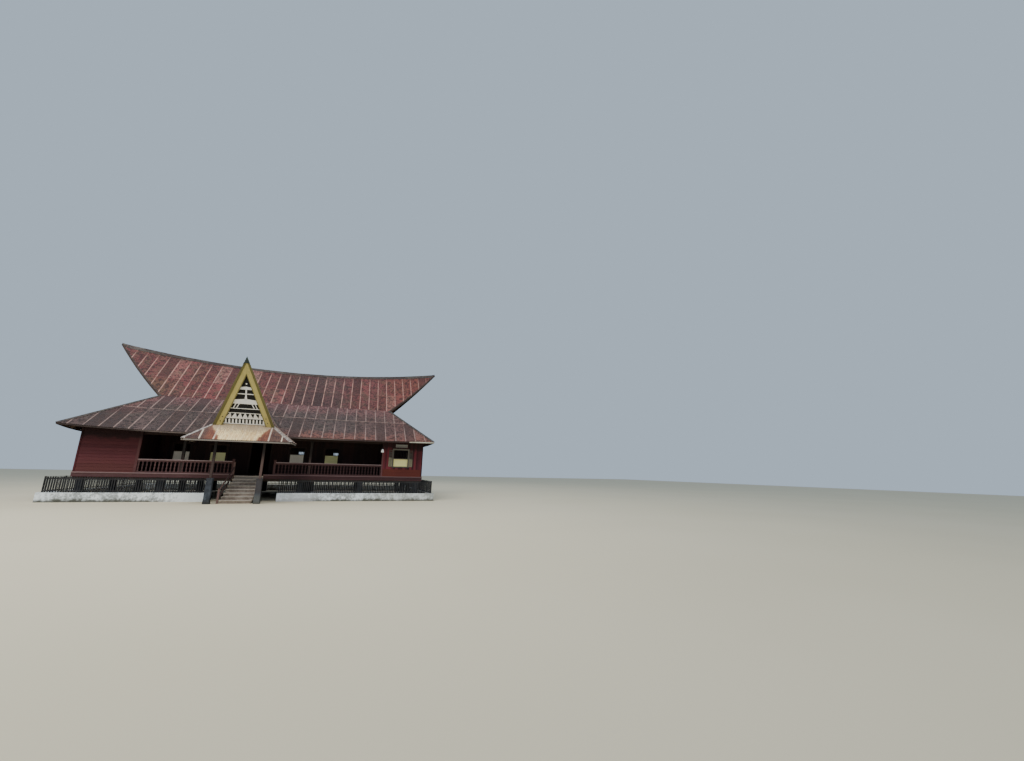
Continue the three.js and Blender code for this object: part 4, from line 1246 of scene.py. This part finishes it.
def add_stair():
    """Masonry treads and risers, and the handrail on the left"""
    rise = FLOOR_TOP / RISERS
    going = (-0.03 - STAIR_FOOT_Y) / (RISERS - 1)
    low, high = STAIR_X
    steps, risers, rail = Piece(), Piece(), Piece()
    for i in range(RISERS - 1):
        y, z = STAIR_FOOT_Y + i * going, (i + 1) * rise
        risers.block((low + 0.012, y + 0.02, 0.0), (high - 0.012, 0.0, z - TREAD_THICK))
        steps.block((low, y - 0.014, z - TREAD_THICK), (high, y + going + 0.03, z))
    risers.block((low + 0.012, -0.02, 0.0), (high - 0.012, 0.0, FLOOR_TOP - TREAD_THICK))
    steps.block((low, -0.045, FLOOR_TOP - TREAD_THICK), (high, 0.0, FLOOR_TOP))
    steps.make("stair_treads", "step_stone", "stair_stone", ["stair_flight"], 0.008)
    risers.make("stair_risers", "riser_stone", "stair_stone")
    for drop in (0.0, LOWER_RAIL_DROP):
        rail.bar(*((RAIL_X, y, RAIL_FOOT_Z + rise / going * (y - RAIL_Y[0] + 0.04) - drop) for y in RAIL_Y),
                 HANDRAIL)
    foot, head = RAIL_Y
    for half, y, bottom, top in ((0.04, foot, 0.0, 0.66), (0.04, head, 1.1, 1.9),
                                 (0.05, foot, 0.66, 0.685), (0.05, head, 1.9, 1.925)):
        rail.block((RAIL_X - half, y - half, bottom), (RAIL_X + half, y + half, top))
    rail.make("stair_rails", "rail_bar", "grey_timber", ["stair_handrail"], 0.005)


def main_roof_z(y):
    return EAVE_Z + (y - EAVE_Y) * (BREAK_Z - EAVE_Z) / (BREAK_Y - EAVE_Y)


def porch_front_surface(along, v):
    _, y, z = (lerp(eave, top, v) for eave, top in zip(PORCH_EAVE, PORCH_BREAK))
    return PORCH_X + along, y, z


def porch_front_limits(along):
    wide, narrow = PORCH_EAVE[0], PORCH_BREAK[0]
    past = max(0.0, abs(along) - narrow)
    return 0.0, clamp(1.0 - past / (wide - narrow), 0.0, 1.0)


def porch_side_surface(sign):
    def surface(y, v):
        x, _, z = (lerp(eave, top, v) for eave, top in zip(PORCH_EAVE, PORCH_BREAK))
        return PORCH_X + sign * x, y, z
    return surface


PORCH_SEAM_PHASE = -1.575
PORCH_SIDE_PHASE = -2.9
PORCH_SIDE_BACK = -0.45
PORCH_SKIRT_STOP = -1.22
PORCH_HIP_WINGS = {-1: 0.1, 1: 0.15}
PORCH_HIP_BEND = 0.06
PORCH_HIP_LIFT = 0.024
PORCH_LIFT = 0.01


def porch_side_limits(y):
    """Lowest and highest part of a side skirt, between the main roof and the hip"""
    _, eave_y, eave_z = PORCH_EAVE
    _, break_y, break_z = PORCH_BREAK
    low, high = 0.0, 1.0
    if y > PORCH_SKIRT_STOP:
        low = clamp((main_roof_z(y) - eave_z) / (break_z - eave_z), 0.0, 1.0)
    if y < break_y:
        high = clamp((y - eave_y) / (break_y - eave_y), 0.0, 1.0)
    return low, high


def gable_front_y(z):
    return BOARD_FOOT[1] + FORWARD_LEAN * (z - BOARD_FOOT[2])


# The porch gable's slopes: their foot, and the two ends of the ridge and of the foot further back
SLOPE_FOOT_Z = 3.74
RIDGE_FRONT = (-3.957, 6.647)
RIDGE_BACK = (1.65, 5.021)
SLOPE_FOOT_BACK_Y = -0.38
GABLE_SEAM_START = -3.9
GABLE_SEAM_PITCH = 0.62
GABLE_SLOPE = 3.1


def porch_gable_surface(sign):
    """A slope of the porch gable, whose front leans forward and whose ridge falls to the back"""
    def surface(y, v):
        front_z = lerp(SLOPE_FOOT_Z, RIDGE_FRONT[1], v)
        back_z = lerp(SLOPE_FOOT_Z, RIDGE_BACK[1], v)
        front_y = gable_front_y(front_z)
        back_y = lerp(SLOPE_FOOT_BACK_Y, RIDGE_BACK[0], v)
        z = lerp(front_z, back_z, (y - front_y) / (back_y - front_y))
        return PORCH_X + sign * lerp(PORCH_BREAK[0], 0.0, v), y, z
    return surface


def porch_gable_limits(y):
    """Lowest and highest part of the slope behind its leaning front and above the main roof"""
    surface = porch_gable_surface(1)
    inside = []
    for v in evenly(0.0, 1.0, 60):
        behind = y >= gable_front_y(lerp(SLOPE_FOOT_Z, RIDGE_FRONT[1], v)) + 0.045
        if behind and (y < EAVE_Y or surface(y, v)[2] > main_roof_z(y)):
            inside.append(v)
    return (inside[0], inside[-1]) if inside else (1.0, 1.0)


def valley_y(v):
    """Where the porch gable slope meets the main roof at one height of the slope"""
    surface = porch_gable_surface(1)
    low, high = EAVE_Y, 2.2
    for _ in range(30):
        middle = (low + high) / 2
        if surface(middle, v)[2] > main_roof_z(middle):
            low = middle
        else:
            high = middle
    return low


def add_porch_sheets():
    """The corrugated sheets of the porch skirt and of its gable"""
    front = Piece()
    wide, eave_y, eave_z = PORCH_EAVE
    slope = math.hypot(PORCH_BREAK[1] - eave_y, PORCH_BREAK[2] - eave_z)
    corrugated(front, porch_front_surface, (-wide, wide), [(0.0, 1.0)], porch_front_limits,
               PORCH_SEAM_PHASE, SEAM_PITCH, slope, PORCH_LIFT)
    front.make("porch_sheets_front", "porch_front_zinc", "porch_zinc", ["porch_skirt_front"])
    for name, sign in (("left", -1), ("right", 1)):
        side, gable = Piece(), Piece()
        corrugated(side, porch_side_surface(sign), (eave_y, PORCH_SIDE_BACK), [(0.0, 1.0)],
                   porch_side_limits, PORCH_SIDE_PHASE, SEAM_PITCH, slope * 1.1, PORCH_LIFT)
        side.make(f"porch_sheets_{name}", "porch_zinc", "porch_zinc", [f"porch_skirt_{name}"])
        corrugated(gable, porch_gable_surface(sign), (GABLE_SEAM_START, 1.62), [(0.0, 0.5), (0.47, 1.0)],
                   porch_gable_limits, GABLE_SEAM_START, GABLE_SEAM_PITCH, GABLE_SLOPE, 0.0)
        gable.make(f"porch_gable_sheets_{name}", "porch_zinc", "upper_roof_zinc",
                   [f"porch_gable_roof_{name}"])


def add_porch_caps():
    """Cappings on the porch's hips and ridge, and flashing where it meets the main roof"""
    caps, ridge, flashing = Piece(), Piece(), Piece()

    def half_and_y(v):
        return [lerp(eave, top, v) for eave, top in zip(PORCH_EAVE[:2], PORCH_BREAK[:2])]

    for sign, wing in PORCH_HIP_WINGS.items():
        side_surface = porch_side_surface(sign)
        cap_hip(caps, lambda distance, v: porch_front_surface(sign * (half_and_y(v)[0] - distance), v),
                lambda distance, v: side_surface(half_and_y(v)[1] + distance, v), wing,
                PORCH_HIP_BEND, PORCH_HIP_LIFT, 6)
    caps.make("porch_hip_capping", "pale_cap_zinc", "ridge_zinc")
    rows = []
    for y in evenly(-3.86, 1.6, 8):
        z = lerp(RIDGE_FRONT[1], RIDGE_BACK[1], (y - RIDGE_FRONT[0]) / (RIDGE_BACK[0] - RIDGE_FRONT[0]))
        rows.append([(PORCH_X + across, y, z + 0.03 - abs(across) * 2.2)
                     for across in (-0.14, -0.05, 0.0, 0.05, 0.14)])
    ridge.sheet(rows, 0.005)
    ridge.make("porch_ridge_capping", "cap_zinc", "ridge_zinc")
    for sign in (-1, 1):
        rows = []
        for v in evenly(0.02, 0.98, 8):
            x, y, z = porch_gable_surface(sign)(valley_y(v), v)
            below = main_roof_z(y) + 0.035
            rows.append([(x - sign * 0.04, y, z + 0.05), (x, y - 0.02, below),
                         (x + sign * 0.14, y - 0.02, below)])
        flashing.sheet(rows, CAP_THICK)
    flashing.make("porch_valley_flashing", "cap_zinc", "ridge_zinc")


PORCH_RAFTER = (0.05, 0.07)
PORCH_HIP_RAFTER = (0.06, 0.08)
PORCH_BATTEN = (0.045, 0.03)
PORCH_BATTEN_PLACES = (0.08, 0.5, 0.9)


def add_porch_timbers():
    """Boards under the porch's eaves, and its rafters and battens"""
    trims, timbers = Piece(), Piece()
    wide, eave_y, z = PORCH_EAVE
    left, right, front_y = PORCH_X - wide + 0.03, PORCH_X + wide - 0.03, eave_y + 0.03
    trims.bar((left, front_y, z), (right, front_y, z), EAVE_BOARD, 0.5, 0.004)
    for x in (left, right):
        trims.bar((x, front_y, z), (x, PORCH_SKIRT_STOP, z), EAVE_BOARD, 0.5, 0.004)
    trims.make("porch_eave_boards", "porch_eave_paint", "edge_boards", bevel=0.003)
    front = porch_front_surface
    for along in evenly(-1.15, 1.15, 6):
        timbers.bar(front(along, 0.03), front(along, 0.97), PORCH_RAFTER, drop=0.03)
    for sign in (-1, 1):
        surface = porch_side_surface(sign)
        timbers.bar(front(sign * 2.2, 0.01), front(sign * 1.2, 0.99), PORCH_HIP_RAFTER, drop=0.03)
        for y in (-2.1, -1.7, -1.3):
            timbers.bar(surface(y, 0.03), surface(y, 0.97), PORCH_RAFTER, drop=0.03)
        for v in PORCH_BATTEN_PLACES:
            timbers.bar(surface(-2.2, v), surface(PORCH_SKIRT_STOP, v), PORCH_BATTEN, drop=0.016)
    for v in PORCH_BATTEN_PLACES:
        half = lerp(wide, PORCH_BREAK[0], v) - 0.06
        timbers.bar(front(-half, v), front(half, v), PORCH_BATTEN, drop=0.016)
    timbers.make("porch_rafters", "dark_timber", "grey_timber")


EDGE_BAND = 0.085
BEAD = 0.03
TIP_HEIGHT = 0.28
BOLT_HEIGHTS = (3.78, 3.98)
BOLT_RADIUS = 0.022


def add_gable():
    """Bargeboards that lean forward, with their darker edge, bolts and metal tip"""
    foot_half, _, foot_z = BOARD_FOOT
    slope = foot_half / (BOARD_APEX_Z - foot_z)
    low = foot_z - 0.02
    outer = slope * (BOARD_APEX_Z - low)
    inner = outer - BOARD_ACROSS
    inner_top = BOARD_APEX_Z - BOARD_ACROSS / slope
    apex = BOARD_APEX_Z + 0.012
    board_outline = [(0.0, inner_top), (inner, low), (outer, low), (0.0, BOARD_APEX_Z)]
    rim = [(0.0, BOARD_APEX_Z - EDGE_BAND / slope), (outer - EDGE_BAND, low), (outer + 0.05, low),
           (0.0, apex)]
    bead = [(0.0, inner_top), (inner, low), (inner + BEAD, low), (0.0, inner_top + BEAD / slope)]

    def place(s, d, z):
        return PORCH_X + s, gable_front_y(z) + d, z

    for name, sign in (("left", -1), ("right", 1)):
        board, edge = Piece(), Piece()
        for piece, outline, depths, shade in ((board, board_outline, (0.012, 0.06), 0.7),
                                              (edge, rim, (-0.008, 0.064), 0.6),
                                              (edge, bead, (0.002, 0.02), 0.8)):
            piece.prism([(sign * s, z) for s, z in outline], depths, place, shade)
        board.make(f"gable_board_{name}", "olive_paint", "olive_boards", [f"bargeboard_{name}"], 0.004)
        edge.make(f"gable_board_edge_{name}", "olive_edge", "olive_boards", bevel=0.003)
    bolts, tip = Piece(), Piece()
    for sign in (-1, 1):
        for z in BOLT_HEIGHTS:
            centre = sign * (slope * (BOARD_APEX_Z - z) - 0.19)
            bolts.prism(round_outline(centre, z, BOLT_RADIUS, 8), (-0.012, 0.03), place)
    bolts.make("gable_bolts", "dark_iron", "dark_iron", bevel=0.003)
    half = slope * TIP_HEIGHT + 0.008
    cap_z = BOARD_APEX_Z - TIP_HEIGHT
    tip.prism([(-half, cap_z), (half, cap_z), (0.0, apex)], (-0.014, 0.07), place)
    tip.make("gable_tip", "tip_metal", "dark_iron", bevel=0.004)


GABLE_BASE_Z = 3.7
GABLE_INNER_HEIGHT = 2.169
GABLE_INNER_HALF = 0.88
ORNAMENT_OUT = (0.002, 0.02)
PICKETS = 12
TEETH = 7
DOT_RADIUS = 0.034


def add_ornament():
    """White sawn boards on the dark panel, row by row from the foot of the gable

    Heights are shares of the way up the gable's opening.
    """
    white = Piece()

    def place(s, d, z):
        return PORCH_X + s, PANEL_FOOT_Y - d + FORWARD_LEAN * (z - GABLE_BASE_Z), z

    def half_at(h):
        return GABLE_INNER_HALF * (1 - h) + 0.03

    def sawn(outline, shade=None):
        white.prism([(s, GABLE_BASE_Z + h * GABLE_INNER_HEIGHT) for s, h in outline], ORNAMENT_OUT,
                    place, shade)

    def band(low, high, peak=0.0):
        outline = [(-half_at(low), low), (half_at(low), low), (half_at(high), high)]
        if peak:
            outline.append((0.0, high + peak / GABLE_INNER_HEIGHT))
        sawn(outline + [(-half_at(high), high)], 0.7)

    band(-0.005, 0.012)
    reach = half_at(0.06) - 0.07
    for s in evenly(-reach, reach, PICKETS - 1):
        sawn([(s - 0.036, 0.01), (s + 0.036, 0.01), (s + 0.036, 0.085), (s, 0.108), (s - 0.036, 0.085)])
    band(0.112, 0.128)
    low_half, high_half = half_at(0.13), half_at(0.225)
    pitch = 2 * low_half / TEETH
    for i in range(TEETH):
        across = lerp(-1, 1, (i + 0.5) / TEETH)
        middle, lean = across * low_half, across * (high_half - low_half)
        sawn([(middle - pitch / 2, 0.128), (middle + pitch / 2, 0.128),
              (middle + pitch * 0.07 + lean, 0.222), (middle - pitch * 0.07 + lean, 0.222)])
    for low, high in ((0.222, 0.234), (0.316, 0.33)):
        band(low, high)
    for sign in (-1, 1):
        for s in (0.30, 0.43):
            sawn([(sign * (s + 0.05), 0.33), (sign * (s + 0.09), 0.33), (sign * (s - 0.02), 0.425),
                  (sign * (s - 0.06), 0.425)])
    band(0.42, 0.505, 0.045)
    band(0.618, 0.636)
    sawn([(-0.055, 0.5), (0.055, 0.5), (0.03, 0.6), (0.03, 0.72), (-0.03, 0.72), (-0.03, 0.6)], 0.7)
    band(0.716, 0.765, 0.03)
    sawn([(s, 0.835 + h / GABLE_INNER_HEIGHT) for s, h in round_outline(0.0, 0.0, DOT_RADIUS, 12)], 0.8)
    white.make("gable_ornament", "ornament_white", "edge_boards", bevel=0.002)


LAMP_PLACE = (5.65, -0.13, 2.79)
LAMP_CAP = ((0.012, 0.07), (0.04, 0.075), (0.034, 0.1), (0.012, 0.125))
LAMP_BELL = ((0.078, -0.12), (0.084, -0.105), (0.074, -0.05), (0.058, 0.01), (0.038, 0.05),
             (0.022, 0.07))


def add_lamp():
    """A white bell lamp on a bracket at the corner of the right room"""
    glass, metal = Piece(), Piece()
    x, y, z = LAMP_PLACE
    metal.block((x - 0.035, -0.014, z + 0.02), (x + 0.035, 0.004, z + 0.16))
    metal.bar((x, 0.0, z + 0.12), (x, y, z + 0.12), (0.018, 0.018))
    metal.turned((x, y), [(radius, z + height) for radius, height in LAMP_CAP], 12)
    glass.turned((x, y), [(radius, z + height) for radius, height in LAMP_BELL], 20)
    metal.make("lamp_bracket", "dark_iron", "dark_iron", bevel=0.002)
    glass.make("lamp_shade", "lamp_glass", "whitewash", bevel=0.004)


def add_porch_supports():
    """The two piers and posts that carry the porch"""
    piers, posts = Piece(), Piece()
    y, top = PORCH_POST_Y, PORCH_FRAME_BOTTOM
    for x in (PORCH_X - PORCH_POST_X, PORCH_X + PORCH_POST_X):
        taper_pier(piers, x, y, 0.13, PORCH_PIER_TOP)
        for half, bottom in ((0.052, PORCH_PIER_TOP), (0.066, top - 0.1)):
            posts.block((x - half, y - half, bottom), (x + half, y + half, top))
    piers.make("porch_piers", "concrete", "concrete", ["porch_pier_left", "porch_pier_right"], 0.012)
    posts.make("porch_posts", "post_timber", "grey_timber", ["porch_post_left", "porch_post_right"], 0.006)


def dress_cad_nodes():
    """Carried-over solids get their finish and softened edges"""
    for name, look, bevel in (("plinth", "whitewash", 0.02), ("gable_panel", "gable_black", 0.0),
                              ("gable_end_left", "gable_end_paint", 0.0),
                              ("gable_end_right", "gable_end_paint", 0.0),
                              ("floor_edge_board", "edge_paint", 0.004),
                              ("verandah_header", "inner_trim", 0.0),
                              ("porch_frame", "post_timber", 0.0)):
        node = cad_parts[name]
        node.data.materials.clear()
        node.data.materials.append(LOOKS[look])
        soften(node, bevel)


LENS = 14.688
SENSOR = 36.0
CAMERA_PLACE = (3.7111, -29.2338, 1.7595)
CAMERA_YAW = math.radians(21.1059)
CAMERA_PITCH = math.radians(12.2578)
CAMERA_ROLL = math.radians(1.2907)


def add_camera():
    """The camera where the photographer stood, turned, tipped and rolled as it was"""
    data = bpy.data.cameras.new("camera")
    data.sensor_width = SENSOR
    data.lens = LENS
    camera = bpy.data.objects.new("camera", data)
    bpy.context.scene.collection.objects.link(camera)
    ahead = Vector((math.sin(CAMERA_YAW) * math.cos(CAMERA_PITCH),
                    math.cos(CAMERA_YAW) * math.cos(CAMERA_PITCH), math.sin(CAMERA_PITCH)))
    level = Vector((math.cos(CAMERA_YAW), -math.sin(CAMERA_YAW), 0.0))
    up = level.cross(ahead)
    right = math.cos(CAMERA_ROLL) * level + math.sin(CAMERA_ROLL) * up
    over = -math.sin(CAMERA_ROLL) * level + math.cos(CAMERA_ROLL) * up
    matrix = Matrix((right, over, -ahead)).transposed().to_4x4()
    matrix.translation = Vector(CAMERA_PLACE)
    camera.matrix_world = matrix
    bpy.context.scene.camera = camera


LIGHT_TARGET = Vector((0.0, 0.0, 3.0))
SKY_COLOUR = (0.68, 0.83, 1.0, 1.0)
SKY_STRENGTH = 0.64
FLOOR_REACH = 90.0


def add_light(name, place, size, power, colour):
    """A round lamp turned towards the middle of the house"""
    data = bpy.data.lights.new(name, "AREA")
    data.shape = "DISK"
    data.size = size
    data.energy = power
    data.color = colour
    light = bpy.data.objects.new(name, data)
    light.location = place
    light.rotation_euler = (LIGHT_TARGET - Vector(place)).to_track_quat("-Z", "Y").to_euler()
    bpy.context.scene.collection.objects.link(light)


def add_studio():
    """Soft light from an even sky and two large lamps, over a pale floor"""
    world = bpy.data.worlds.new("studio")
    bpy.context.scene.world = world
    world.use_nodes = True
    background = world.node_tree.nodes["Background"]
    background.inputs[0].default_value = SKY_COLOUR
    background.inputs[1].default_value = SKY_STRENGTH
    add_light("sky_box", (-6.0, -18.0, 26.0), 26.0, 9000.0, (1.0, 0.98, 0.95))
    add_light("back_box", (8.0, 22.0, 28.0), 22.0, 1600.0, (0.94, 0.97, 1.0))
    look = Look("floor_paper", Roughness=0.9)
    look.feed(Base_Color=look.mix(look.noise(0.2, 2, 0.4), (210, 199, 170), (219, 208, 180)))
    mesh = bpy.data.meshes.new("floor")
    corners = [(x * FLOOR_REACH, y * FLOOR_REACH, 0) for x, y in ((-1, -1), (1, -1), (1, 1), (-1, 1))]
    mesh.from_pydata(corners, [], [(0, 1, 2, 3)])
    mesh.materials.append(look.material)
    floor = bpy.data.objects.new("floor", mesh)
    bpy.context.scene.collection.objects.link(floor)


add_camera()
add_studio()
add_main_roof()
add_ridge_cap()
add_hip_caps()
add_roof_edges()
add_roof_timbers()
add_walls()
add_gable_end_battens()
add_windows()
add_verandah()
add_floor()
add_fences()
add_stair()
add_porch_sheets()
add_porch_caps()
add_porch_timbers()
add_gable()
add_ornament()
add_porch_supports()
add_lamp()
dress_cad_nodes()
